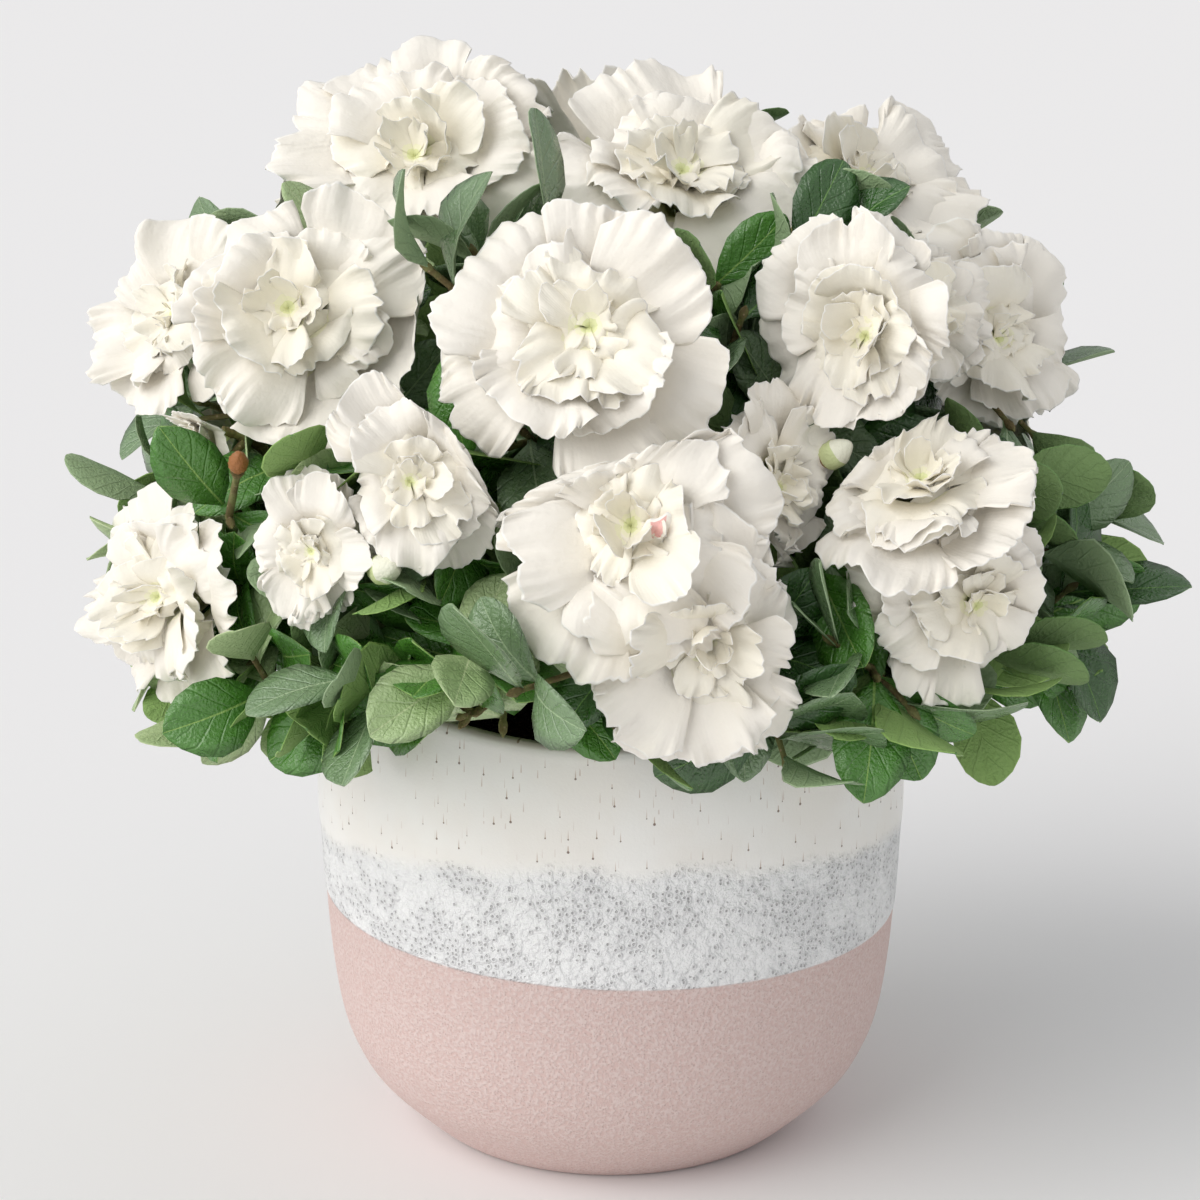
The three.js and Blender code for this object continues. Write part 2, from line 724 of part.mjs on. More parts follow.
function twigIsFree(mass, curve) {
  for (let step = 2; step <= 8; step++) {
    if (!isFree(mass, curve.getPoint(step / 8), STEM_RADII[0] + FIT_GAP)) return false;
  }
  return true;
}

// A double bloom facing +Z, its face's middle at the origin and its widest radius 1: the calyx, five
// broad outer lobes, a raised inner ruffle and a shallow throat, turned as one closed surface.
const BLOOM_PROFILE = [
  { radius: 0, height: -0.62, lobes: 0 },
  { radius: 0.42, height: -0.3, lobes: 0.2 },
  { radius: 1, height: 0, lobes: 1 },
  { radius: 0.66, height: 0.16, lobes: -0.8 },
  { radius: 0.26, height: 0.06, lobes: 0 },
  { radius: 0, height: -0.03, lobes: 0 },
];
const BLOOM_SIDES = 15;

function bloomSolid(mass, bloom, draw) {
  const facing = facingOf(bloom.turn, bloom.lift);
  const middle = vector(bloom.at);
  const radius = bloom.across / 2;
  const geometry = new THREE.LatheGeometry(
    BLOOM_PROFILE.map((ring) => new THREE.Vector2(ring.radius, ring.height)),
    BLOOM_SIDES,
  ).rotateX(Math.PI / 2);
  const ruffles = BLOOM_PROFILE.map(() => Array.from({ length: BLOOM_SIDES }, () => draw() - 0.5));
  const position = geometry.attributes.position;
  const matrix = placement(middle, facing, UP, radius);
  const rings = BLOOM_PROFILE.length;
  const point = new THREE.Vector3();
  for (let i = 0; i < position.count; i++) {
    const ring = BLOOM_PROFILE[i % rings];
    const side = Math.floor(i / rings) % BLOOM_SIDES;
    const notch = side % 3 === 0 ? -0.16 : 0;
    const bulge = ring.lobes > 0 ? notch : -notch - 0.1;
    const ruffle = ruffles[i % rings][side];
    const wide = 1 + Math.abs(ring.lobes) * (bulge + 0.1 * ruffle);
    point.fromBufferAttribute(position, i);
    point.set(point.x * wide, point.y * wide, point.z + 0.22 * Math.abs(ring.lobes) * ruffle);
    point.applyMatrix4(matrix);
    const step = point.clone().sub(middle);
    point.copy(middle).addScaledVector(step, roomAlong(mass, middle, step));
    position.setXYZ(i, point.x, point.y, point.z);
  }
  return solidOf(geometry);
}

// The tips of the leafy shoots: evenly spread over the crown, at seeded depths.
function shootTips() {
  const tips = OUTER_SHOOTS.map(vector);
  for (let n = 0; n < SHOOTS; n++) {
    const draw = drawsFor(n);
    const height = THREE.MathUtils.lerp(SHOOT_LOWEST, SHOOT_HIGHEST, (n + 0.5) / SHOOTS);
    const ring = height > 0 ? Math.sqrt(1 - height ** 2) : Math.sqrt(1 - height ** 4);
    const angle = n * GOLDEN_ANGLE;
    const [least, most] = n % 3 === 2 ? INNER_DEPTH : OUTER_DEPTH;
    const depth = THREE.MathUtils.lerp(least, most, draw());
    const tall = height > 0 ? CROWN_TALL : CROWN_DEEP;
    const wide = CROWN_WIDE * ring;
    const reach = new THREE.Vector3(wide * Math.cos(angle), wide * Math.sin(angle), tall * height);
    tips.push(CROWN_CORE.clone().addScaledVector(reach, depth));
  }
  const kept = [];
  for (const tip of tips) {
    const crowded = kept.some((other) => other.distanceTo(tip) < SHOOT_APART);
    if (!crowded && !hiddenByBloom(tip)) kept.push(tip);
  }
  return kept;
}

// Whether a point is inside a bloom or in front of its face.
function hiddenByBloom(point) {
  return MASSES.some((mass) =>
    mass.blooms.some((bloom) => {
      const facing = facingOf(bloom.turn, bloom.lift);
      const apart = point.clone().sub(vector(bloom.at));
      const ahead = apart.dot(facing);
      const aside = apart.addScaledVector(facing, -ahead).length();
      return ahead > -0.5 * (bloom.across / 2) && aside < 0.8 * (bloom.across / 2);
    }),
  );
}

// The twig to a shoot's tip: it branches off an older twig where the way is short and leads on.
function branchTo(mass, tip, twigs) {
  let best = null;
  for (const twig of twigs) {
    for (const share of FORKS) {
      const from = insideStem(twig, share);
      const way = tip.clone().sub(from);
      const cost = way.length() * (1 + 0.6 * twig.getTangent(share).angleTo(way) ** 2);
      const curve = new THREE.LineCurve3(from, tip);
      if ((!best || cost < best.cost) && twigIsFree(mass, curve)) best = { cost, curve };
    }
  }
  return best && best.curve;
}

// Everything that grows from one knot, joined to one body.
function massSolid(mass, tips, row) {
  const bud = new THREE.OctahedronGeometry(KNOT_RADIUS).rotateX(0.4).rotateY(0.7 + row);
  const knot = solidOf(bud.translate(...mass.knot));
  const parts = [];
  const twigs = [];
  mass.blooms.forEach((bloom, i) => {
    const draw = drawsFor(1000 + 10 * row + i);
    const twig = mass.stems[i];
    twigs.push(twig);
    parts.push(twigSolid(twig, STEM_RADII, 2), bloomSolid(mass, bloom, draw));
    parts.push(...spray(mass, twig, BLOOM_SPRAY, draw));
  });
  if (twigs.length === 0) {
    twigs.push(mass.stems[0]);
    parts.push(twigSolid(twigs[0], STEM_RADII, 2));
    parts.push(...spray(mass, twigs[0], SHOOT_SPRAY, drawsFor(2000 + row)));
  }
  tips.sort((a, b) => a.distanceTo(mass.knot) - b.distanceTo(mass.knot));
  tips.forEach((tip, i) => {
    const twig = branchTo(mass, tip, twigs);
    if (!twig) return;
    const draw = drawsFor(3000 + 100 * row + i);
    const leaves = spray(mass, twig, SHOOT_SPRAY, draw);
    if (leaves.length === 0) return;
    twigs.push(twig);
    parts.push(twigSolid(twig, TWIG_RADII, 1), ...leaves);
  });
  return joined(knot, parts);
}

// The finishes
const FINISHES = {
  stoneware: { color: "#d8c9c2", roughness: 0.7 },
  compost: { color: "#3a2a20", roughness: 1 },
  bark: { color: "#6b5340", roughness: 0.9 },
  foliage: { color: "#3f6b35", roughness: 0.5 },
};

const azalea = new THREE.Group();

function addPiece(name, geometry, finish) {
  const material = new THREE.MeshStandardMaterial({ ...FINISHES[finish], metalness: 0 });
  const mesh = new THREE.Mesh(geometry, material);
  mesh.name = name;
  azalea.add(mesh);
}

addPiece("pot", makePot(), "stoneware");
addPiece("root_ball", makeSoil(), "compost");
addPiece("trunk", makeTrunk(), "bark");

const tipsOf = new Map(MASSES.map((mass) => [mass, []]));
for (const tip of shootTips()) tipsOf.get(massAt(tip)).push(tip);

MASSES.forEach((mass, row) => {
  addPiece(`bough_${mass.name}`, limbGeometry(mass.bough, boughRadiusAt, BOUGH_STEPS, BOUGH_SIDES), "bark");
  addPiece(`foliage_${mass.name}`, geometryOf(massSolid(mass, tipsOf.get(mass), row)), "foliage");
});

export default azalea;
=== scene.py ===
import math

import bmesh
import bpy
import numpy as np
from mathutils import Matrix, Vector, noise


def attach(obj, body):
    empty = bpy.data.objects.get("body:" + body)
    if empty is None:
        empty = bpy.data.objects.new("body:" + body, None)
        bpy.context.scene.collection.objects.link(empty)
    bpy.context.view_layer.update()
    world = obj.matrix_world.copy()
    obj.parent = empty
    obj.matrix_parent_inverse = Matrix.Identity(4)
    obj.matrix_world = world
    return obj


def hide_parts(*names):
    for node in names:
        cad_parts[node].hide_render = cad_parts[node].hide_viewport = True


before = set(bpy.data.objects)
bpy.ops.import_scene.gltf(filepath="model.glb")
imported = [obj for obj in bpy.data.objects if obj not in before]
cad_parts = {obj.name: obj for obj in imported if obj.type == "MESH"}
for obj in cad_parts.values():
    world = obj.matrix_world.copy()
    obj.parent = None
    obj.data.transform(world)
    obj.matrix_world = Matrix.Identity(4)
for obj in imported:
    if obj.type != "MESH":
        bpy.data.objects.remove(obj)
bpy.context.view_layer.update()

MM = 0.001

# The pot
POT_HEIGHT = 132.0
RIM_SWEEP = 10.0
RIM_SWEEP_FROM = 88.0
POT_WALL = 5.0
POT_FLOOR = 9.0
POT_RIM_RADIUS = 78.7
POT_BELLY_RADIUS = 80.0
SOIL_TOP = 118.0
POT_OUTSIDE = [
    (49.0, 0.0), (51.4, 1.2), (57.0, 6.0), (67.0, 16.0), (72.2, 25.0), (75.4, 35.0), (77.6, 50.0),
    (79.0, 68.0), (80.0, 92.0), (79.8, 112.0), (78.7, 129.6),
]

# Trunk and boughs
FIT_GAP = 0.4
TRUNK_FOOT = np.array([0.0, 0.0, SOIL_TOP + FIT_GAP])
TRUNK_HEAD = np.array([3.0, 2.0, 150.0])
TRUNK_FLARE_RADIUS = 10.5
TRUNK_NECK_RADIUS = 6.2
BOUGH_RADIUS = 2.5
BOUGH_TIP_RADIUS = 1.6
BOUGH_STANDOFF = 1.5
BOUGH_BEND_AT = 0.4
BOUGH_BEND_OUT = 8
BOUGH_BEND_UP = 4
BOUGH_TURN_COST = 9
BOUGHS_FROM = 128
BOUGHS_TO = 149
BOUGH_RISE = 1.5
BOUGH_SWING = 0.15
BOUGH_SWINGS = 8
BOUGH_CHECKS = 25
STEM_CHECKS = 17
FINE_CHECKS = 201
LIMB_STEPS = 14
TRUNK_STEP = 4

# The crown
CROWN_CORE = np.array([0.0, 0.0, 168.0])
CROWN_WIDE = 126.0
CROWN_TALL = 106.0
CROWN_DEEP = 50.0
OUTER_DEPTH = (0.86, 1.0)
INNER_DEPTH = (0.56, 0.76)
CROWN_FOOT = 120.0
CROWN_FOOT_RISE = 0.25
CROWN_FOOT_FRONT = -70.0
BARE_RIM_MIDDLE = -33.0
BARE_RIM_HALF = 21.0
BARE_RIM_FOOT = 134.0
SHOOT_APART = 18.0
SHOOTS = 84
SHOOT_LOWEST = -0.74
SHOOT_HIGHEST = 0.97
KNOT_RADIUS = 2.8
KNOT_FROM = 0.5
KNOT_STEP = 0.04
KNOT_CLEAR = 1.5
STEM_RADIUS = 2.2
FORKS = (0.3, 0.55, 0.8)
LEAF_LENGTH = 31.0
LEAF_WIDTH_SHARE = 0.58
LEAF_KEEL_SHARE = 0.045
LEAF_FOLD_SHARE = 0.05
LEAF_SUNK = 0.4
LEAF_STEP = 2.4
LEAF_SWAY = 0.3
LEAF_SHORTEST = 0.82
LEAF_LENGTH_RANGE = 0.28
TURN_COST = 0.6
SHOOT_SPRAY = {"count": 6, "near": 1.2, "uprightest": 32.0, "flattest": 84.0}
BLOOM_SPRAY = {"count": 3, "near": 5.0, "uprightest": 70.0, "flattest": 104.0}
LEAF_TRIES = 3
LEAF_CLEAR = 7.0
CELL_GAP = 0.5
SKIRT_WEIGHT = 40.0
GOLDEN_ANGLE = 2.399963
FULL_TURN = 2 * math.pi
SEED = 20817
# Each thing that grows has a row of draws of its own; these are the first rows of each kind.
BLOOM_DRAWS = 1000
SKIRT_DRAWS = 2000
SHOOT_DRAWS = 3000
FINE_TIP_DRAWS = 5000
FINE_DRAWS = 6000
GREEN_DRAWS = 9000
PETAL_DRAWS = 12000
LEAF_DRAWS = 20000
STEM_BEND = 0.3
CALYX_DEPTH = 0.56
CALYX_IN = 2
SOLID_RUFFLES = 90
# How thick twigs are at their start and at their end.
STALK_RADIUS = STEM_RADIUS * 0.8
STALK_END = 1.2
SKIRT_END = 1.0
SHOOT_TWIG = (1.25, 0.85)
BUD_TWIG = (1.1, 0.9)
FINE_TWIG = (1.0, 0.7)
FINE_SHOOTS = 300
FINE_LOWEST = -0.8
FINE_HIGHEST = 0.95
FINE_TURN = 1.1
FINE_DEPTHS = [(0.84, 1.0), (0.6, 0.8), (0.84, 1.0), (0.42, 0.6)]
FINE_CLEAR = 4.0
FINE_DEPTH = -9.0
HOLD_REACH = 1.2
HOLD_CHECKS = 41
SHORTEST_TWIG = 0.1

# The blooms of each mass: middle of the face, width, turn from the front and lift, in degrees.
MASSES = [
    {"name": "top_left", "blooms": [((-48, 10, 272), 66, -14, 36)]},
    {"name": "top", "blooms": [((20, -5, 268), 66, 6, 52)]},
    {"name": "top_right", "blooms": [((68, 22, 260), 58, 24, 48)]},
    {"name": "left_high", "blooms": [((-116, -8, 228), 52, -42, 24), ((-77, -44, 235), 66, -12, 20)]},
    {"name": "centre", "blooms": [((-9, -82, 237), 76, 0, 26)]},
    {"name": "right_high", "blooms": [((60, -66, 241), 54, -20, 12), ((41, -80, 204), 42, 32, 10)]},
    {"name": "right_far", "blooms": [((104, -10, 227), 62, 36, 14), ((80, -36, 236), 42, 26, 20)]},
    {"name": "left_mid", "blooms": [((-46, -98, 208), 47, -5, 14), ((-74, -92, 188), 38, -16, 8)]},
    {"name": "left_low", "blooms": [((-114, -58, 165), 58, -46, 4), ((-107, -34, 203), 30, -66, 2)]},
    {"name": "front", "blooms": [((5, -112, 197), 64, -8, 24), ((19, -115, 169), 60, 6, 2)]},
    {"name": "right_mid", "blooms": [((76, -84, 201), 56, 4, 52), ((86, -90, 177), 52, 12, 8)]},
    {"name": "back_left", "blooms": [((-82, 62, 234), 62, -138, 30), ((-110, 50, 184), 54, -112, 8)]},
    {"name": "back_top", "blooms": [((-2, 66, 258), 66, 178, 42)]},
    {"name": "back_right", "blooms": [((74, 74, 230), 60, 138, 26), ((108, 54, 182), 56, 116, 8)]},
    {"name": "skirt_front", "middle": (-34, -92, 146), "blooms": []},
    {"name": "skirt_left", "middle": (-98, -2, 142), "blooms": []},
    {"name": "skirt_right", "middle": (104, -8, 154), "blooms": []},
    {"name": "skirt_back_left", "middle": (-66, 74, 146), "blooms": []},
    {"name": "skirt_back_right", "middle": (62, 80, 144), "blooms": []},
    {"name": "back_low", "blooms": [((-42, 106, 196), 60, -162, 12), ((32, 110, 178), 56, 166, 6)]},
]
OUTER_SHOOTS = [
    (-110, -14, 190), (-112, 22, 198), (-104, -40, 192), (-100, -50, 134), (-86, -72, 144), (-96, -64, 186),
    (119, -6, 174), (116, 24, 186), (114, -34, 196), (118, -30, 176), (114, -34, 150), (96, -62, 144),
    (56, -30, 254), (70, -20, 256), (28, -40, 244), (37, -44, 228), (-36, -28, 242), (-54, -62, 220),
    (-48, -78, 216), (-28, -88, 200), (-77, -80, 166), (-60, -92, 166), (-40, -96, 168), (48, -84, 180),
    (66, -94, 152), (8, -92, 148), (-14, -94, 154), (44, -90, 148), (-52, -80, 145), (-17, -84, 143),
]
GAP_SHOOTS = [
    (-74, -78, 150), (-90, -60, 150), (-62, -86, 148), (-36, -92, 146), (-96, -50, 166), (-64, -70, 176),
    (26, -34, 240), (34, -40, 222), (46, -36, 246), (44, -46, 214), (24, -50, 232),
    (-46, -70, 214), (-30, -80, 196), (-84, -50, 204), (-58, -76, 204), (62, -78, 172), (50, -82, 160),
    (72, -60, 190), (100, -40, 178), (104, -30, 204), (62, -86, 146),
    (88, -70, 150), (-108, -30, 176), (-100, -20, 206), (58, -84, 188), (-20, -92, 172), (-46, -88, 180),
]
# Swollen buds: place, length and kind. A flower bud is pale green-white, a scaly one brown.
BUD_SPOTS = [
    ((-58, -96, 184), 11, "flower"), ((52, -72, 205), 10, "flower"), ((-93, -76, 204), 7, "scaly"),
    ((-104, 30, 212), 10, "flower"), ((-30, 96, 226), 11, "flower"), ((64, 96, 200), 7, "scaly"),
    ((24, 84, 232), 10, "flower"), ((-86, 84, 200), 7, "scaly"), ((112, 22, 204), 10, "flower"),
]

UP = np.array([0.0, 0.0, 1.0])


def vec(values):
    return np.array(values, dtype=float)


def length_of(v):
    return math.sqrt(float(v @ v))


def unit(v):
    return v / max(length_of(v), 1e-9)


def mix(a, b, share):
    return a + (b - a) * share


def smooth_step(x, low, high):
    share = np.clip((x - low) / (high - low), 0.0, 1.0)
    return share * share * (3.0 - 2.0 * share)


def draws_for(number):
    """A seeded row of draws from 0 to 1, one row for each thing that grows."""
    state = (SEED + (number + 1) * 2654435761) & 0xFFFFFFFF

    def draw():
        nonlocal state
        state = (state * 1664525 + 1013904223) & 0xFFFFFFFF
        return state / 4294967296.0

    return draw


def facing_of(turn, lift):
    a, e = math.radians(turn), math.radians(lift)
    return np.array([math.sin(a) * math.cos(e), -math.cos(a) * math.cos(e), math.sin(e)])


def rim_sweep(x, y, height):
    across = np.maximum(np.hypot(x, y), 1e-6)
    return smooth_step(height, RIM_SWEEP_FROM, POT_HEIGHT) * RIM_SWEEP * (x / across) ** 2


# The space of each mass
for mass in MASSES:
    if mass["blooms"]:
        mass["middle"] = sum(vec(bloom[0]) for bloom in mass["blooms"]) / len(mass["blooms"])
    else:
        mass["middle"] = vec(mass["middle"])
    widest = max([SKIRT_WEIGHT] + [bloom[1] for bloom in mass["blooms"]])
    mass["weight"] = (widest / 2) ** 2
MIDDLES = np.array([mass["middle"] for mass in MASSES])
WEIGHTS = np.array([mass["weight"] for mass in MASSES])
APART = np.linalg.norm(MIDDLES[:, None] - MIDDLES[None], axis=2)


def depths_from(row, points):
    """How far each point lies inside a mass's wall against every other mass, and which those are."""
    pull = ((points[:, None] - MIDDLES[None]) ** 2).sum(axis=2) - WEIGHTS
    rest = np.array([other for other in range(len(MASSES)) if other != row])
    return (pull[:, rest] - pull[:, [row]]) / (2 * APART[row, rest]), rest


def depth_in(row, points):
    """How far inside the space of a mass each point lies; negative outside."""
    return depths_from(row, np.atleast_2d(points))[0].min(axis=1) - CELL_GAP


def mass_at(point):
    return max(range(len(MASSES)), key=lambda row: depth_in(row, point)[0])


def bezier(points, share):
    a, b, c = points
    return (1 - share) ** 2 * a + 2 * (1 - share) * share * b + share**2 * c


def bezier_tangent(points, share):
    a, b, c = points
    return unit((1 - share) * (b - a) + share * (c - b))


def turned_about_up(v, angle):
    c, s = math.cos(angle), math.sin(angle)
    return np.array([c * v[0] - s * v[1], s * v[0] + c * v[1], v[2]])


def knot_of(row, mass):
    share = KNOT_FROM
    while share < 1:
        knot = mix(TRUNK_HEAD, mass["middle"], share)
        if depth_in(row, knot)[0] >= KNOT_RADIUS + KNOT_CLEAR:
            break
        share += KNOT_STEP
    return knot


def trunk_axis(height):
    rise = (height - TRUNK_FOOT[2]) / (TRUNK_HEAD[2] - TRUNK_FOOT[2])
    return mix(TRUNK_FOOT, TRUNK_HEAD, rise)


def bough_curve(knot, height, turn):
    axis = trunk_axis(height)
    outward = turned_about_up(unit((knot - axis) * vec((1, 1, 0))), turn)
    start = axis + outward * (TRUNK_NECK_RADIUS + BOUGH_RADIUS + BOUGH_STANDOFF)
    bend = mix(start, knot, BOUGH_BEND_AT) + outward * BOUGH_BEND_OUT + UP * BOUGH_BEND_UP
    tip = knot - unit(knot - bend) * (KNOT_RADIUS + FIT_GAP)
    return start, bend, tip


def bough_radius(share):
    return mix(BOUGH_RADIUS, BOUGH_TIP_RADIUS, share)


def points_on(curve, count):
    return np.array([bezier(curve, share) for share in np.linspace(0, 1, count)])


def boughs_clear(curve, others):
    radii = bough_radius(np.linspace(0, 1, BOUGH_CHECKS))
    own = points_on(curve, BOUGH_CHECKS)
    for other in others:
        gaps = np.linalg.norm(own[:, None] - points_on(other, BOUGH_CHECKS)[None], axis=2)
        if (gaps < radii[:, None] + radii[None] + 2 * FIT_GAP).any():
            return False
    return True


def clear_of_stems(row, curve):
    radii = bough_radius(np.linspace(0, 1, BOUGH_CHECKS)) + KNOT_RADIUS + FIT_GAP
    own_points = points_on(curve, BOUGH_CHECKS)
    for other, mass in enumerate(MASSES):
        if other == row:
            continue
        for stem in mass["stems"]:
            gaps = np.linalg.norm(own_points[:, None] - points_on(stem, STEM_CHECKS)[None], axis=2)
            if (gaps < radii[:, None]).any():
                return False
    return True


def stem_curve(start, end, along):
    return start, end - along * STEM_BEND * length_of(start - end), end


def stems_of(mass):
    if not mass["blooms"]:
        return [stem_curve(mass["knot"], mass["middle"], unit(mass["middle"] - mass["knot"]))]
    stems = []
    for at, across, turn, lift in mass["blooms"]:
        facing = facing_of(turn, lift)
        calyx = vec(at) + facing * (CALYX_IN - CALYX_DEPTH * across / 2)
        stems.append(stem_curve(mass["knot"], calyx, facing))
    return stems


def place_boughs():
    placed = []
    for row, mass in enumerate(MASSES):
        mass["knot"] = knot_of(row, mass)
        mass["stems"] = stems_of(mass)
    rows = sorted(range(len(MASSES)), key=lambda row: MASSES[row]["middle"][2])
    for rank, row in enumerate(rows):
        mass = MASSES[row]
        wished = mix(BOUGHS_FROM, BOUGHS_TO, rank / (len(rows) - 1))
        choices = [
            (abs(height - wished) + BOUGH_TURN_COST * abs(swing * BOUGH_SWING), swing * BOUGH_SWING, height)
            for swing in range(-BOUGH_SWINGS, BOUGH_SWINGS + 1)
            for height in np.arange(BOUGHS_FROM, BOUGHS_TO + 0.1, BOUGH_RISE)
        ]
        choices.sort(key=lambda choice: choice[0])
        for _, turn, height in choices:
            mass["bough"] = bough_curve(mass["knot"], height, turn)
            if boughs_clear(mass["bough"], placed) and clear_of_stems(row, mass["bough"]):
                break
        placed.append(mass["bough"])


place_boughs()


def spaced_points(curve, steps):
    """Points at even lengths along a curve."""
    fine = points_on(curve, FINE_CHECKS)
    run = np.concatenate([[0], np.cumsum(np.linalg.norm(np.diff(fine, axis=0), axis=1))])
    wished = np.linspace(0, run[-1], steps + 1)
    return np.stack([np.interp(wished, run, fine[:, axis]) for axis in range(3)], axis=1)


LIMB_POINTS = []
LIMB_RADII = []
for mass in MASSES:
    for i, point in enumerate(spaced_points(mass["bough"], LIMB_STEPS)):
        LIMB_POINTS.append(point)
        LIMB_RADII.append(bough_radius(i / LIMB_STEPS))
for z in np.arange(TRUNK_FOOT[2], TRUNK_HEAD[2], TRUNK_STEP):
    LIMB_POINTS.append(vec((1, 1, z)))
    LIMB_RADII.append(TRUNK_FLARE_RADIUS)
LIMB_POINTS = np.array(LIMB_POINTS)
LIMB_RADII = np.array(LIMB_RADII)


# How clear of the pot and its soil the foliage stays.
ABOVE_RIM = 1.2
OUTSIDE_POT = 1.5
INSIDE_POT = 2.5
ABOVE_SOIL = 2


def touches_pot(points):
    across = np.hypot(points[:, 0], points[:, 1])
    rim = POT_HEIGHT + rim_sweep(points[:, 0], points[:, 1], POT_HEIGHT)
    over_wall = (points[:, 2] < rim + ABOVE_RIM) & (across < POT_BELLY_RADIUS + OUTSIDE_POT)
    in_wall = across > POT_RIM_RADIUS - POT_WALL - INSIDE_POT
    return over_wall & (in_wall | (points[:, 2] < SOIL_TOP + ABOVE_SOIL))


def below_crown(points):
    """Whether any point hangs lower than the crown does: less low over the pot's front, and above a
    stretch of the rim that is left bare."""
    ahead = np.maximum(CROWN_FOOT_FRONT - points[:, 1], 0)
    over_bare_rim = (ahead > 0) & (np.abs(points[:, 0] - BARE_RIM_MIDDLE) < BARE_RIM_HALF)
    foot = np.where(over_bare_rim, BARE_RIM_FOOT, CROWN_FOOT) + CROWN_FOOT_RISE * ahead
    return (points[:, 2] < foot).any()


def all_free(row, points, margin, depth=0.0):
    if (depth_in(row, points) <= depth).any() or touches_pot(points).any():
        return False
    gaps = np.linalg.norm(points[:, None] - LIMB_POINTS[None], axis=2)
    return not (gaps < LIMB_RADII + margin).any()


BLOOMS = [
    (vec(at), across / 2, facing_of(turn, lift))
    for mass in MASSES
    for at, across, turn, lift in mass["blooms"]
]
BLOOM_UNDERSIDE = ((0, -0.62), (0.35, -0.3), (0.65, -0.16), (1.05, -0.12))
BLOOM_REACH = 0.98
BLOOM_FRONT = 1.2
HIDDEN_DEPTH = 0.5
HIDDEN_REACH = 0.8


def in_bloom(points):
    """Whether any of the points lies among the petals of a bloom."""
    for at, radius, facing in BLOOMS:
        apart = (points - at) / radius
        ahead = apart @ facing
        aside = np.sqrt(np.maximum((apart**2).sum(axis=1) - ahead**2, 0))
        under = np.interp(aside, *zip(*BLOOM_UNDERSIDE))
        if ((aside < BLOOM_REACH) & (ahead > under) & (ahead < BLOOM_FRONT)).any():
            return True
    return False


LEAF_OUTLINE = np.array([
    (LEAF_WIDTH_SHARE / 2, LEAF_FOLD_SHARE, 0.55),
    (-LEAF_WIDTH_SHARE / 2, LEAF_FOLD_SHARE, 0.55),
    (0, -LEAF_KEEL_SHARE, 0.5),
    (0, 0, 1),
    (LEAF_WIDTH_SHARE / 4, 0, 0.78),
    (-LEAF_WIDTH_SHARE / 4, 0, 0.78),
])
LEAF_CHECKS = (0.25, 0.5, 0.75, 1.0)
LEAF_MIDDLES = (0.4, 0.65, 0.9)
LEAF_MARGIN = 1.2
NO_SPRAY = -1
BUD_LIFT = 0.5
TWIG_CHECKS = 9


def leaf_axes(along, upper):
    z = unit(along)
    x = unit(np.cross(upper, z))
    return np.array([x, np.cross(z, x), z])


class Leaves:
    """All leaves of the plant: where each is rooted, how it is turned, its length and its spray."""

    def __init__(self):
        self.rows = []
        self.middles = np.zeros((0, 3))
        self.sprays = np.zeros(0, dtype=int)

    def try_leaf(self, row, root, along, upper, length, spray, clear, depth):
        middles = np.array([root + along * share * length for share in LEAF_MIDDLES])
        others = self.middles[self.sprays != spray]
        if len(others) and (np.linalg.norm(others[:, None] - middles[None], axis=2) < clear).any():
            return False
        start = root - along * LEAF_SUNK
        axes = leaf_axes(along, upper)
        corners = start + LEAF_OUTLINE @ axes * length
        points = np.concatenate([mix(root, corners, share) for share in LEAF_CHECKS])
        if below_crown(points) or in_bloom(points):
            return False
        if not all_free(row, points, LEAF_MARGIN, depth):
            return False
        self.keep_clear(middles, spray)
        self.rows.append((start, axes, length, spray))
        return True

    def keep_clear(self, points, spray):
        self.middles = np.concatenate([self.middles, points])
        self.sprays = np.concatenate([self.sprays, [spray] * len(points)])


leaves = Leaves()
twigs = []  # each: curve, start radius, end radius, whether it ends in a bud
buds = []  # each: tip of the twig, direction, length, kind
spray_count = 0


def set_spray(row, curve, spray, draw, clear=LEAF_CLEAR, depth=0.0):
    """Leaves set spirally down the end of a twig, by the same rule and draws as the solids'."""
    global spray_count
    end = bezier(curve, 1)
    along = unit(end - bezier(curve, 0.5))
    side = UP if abs(along[2]) < 0.9 else vec((0, 1, 0))
    first = unit(np.cross(along, side))
    second = np.cross(along, first)
    turn = draw() * FULL_TURN
    placed = 0
    for k in range(spray["count"]):
        root = end - along * (spray["near"] + LEAF_STEP * k)
        for tries in range(LEAF_TRIES):
            angle = turn + k * GOLDEN_ANGLE + (LEAF_SWAY + tries) * (draw() - 0.5)
            share = (k + draw() - 0.5) / (spray["count"] - 1)
            spread = math.radians(mix(spray["uprightest"], spray["flattest"], share))
            length = LEAF_LENGTH * (LEAF_SHORTEST + LEAF_LENGTH_RANGE * draw())
            direction = (
                along * math.cos(spread)
                + first * math.sin(spread) * math.cos(angle)
                + second * math.sin(spread) * math.sin(angle)
            )
            if leaves.try_leaf(row, root, direction, along, length, spray_count, clear, depth):
                placed += 1
                break
    spray_count += 1
    return placed


def straight(a, b):
    return a, (a + b) / 2, b


def inside_stem(curve, share):
    low, high = (0, 0.5) if share < 0.5 else (0.5, 1)
    return mix(bezier(curve, low), bezier(curve, high), (share - low) * 2)


def twig_is_free(row, curve, depth):
    return all_free(row, points_on(curve, TWIG_CHECKS)[2:], STEM_RADIUS + FIT_GAP, depth)


def hidden_by_bloom(point):
    for at, radius, facing in BLOOMS:
        apart = point - at
        ahead = apart @ facing
        if ahead > -HIDDEN_DEPTH * radius and length_of(apart - facing * ahead) < HIDDEN_REACH * radius:
            return True
    return False


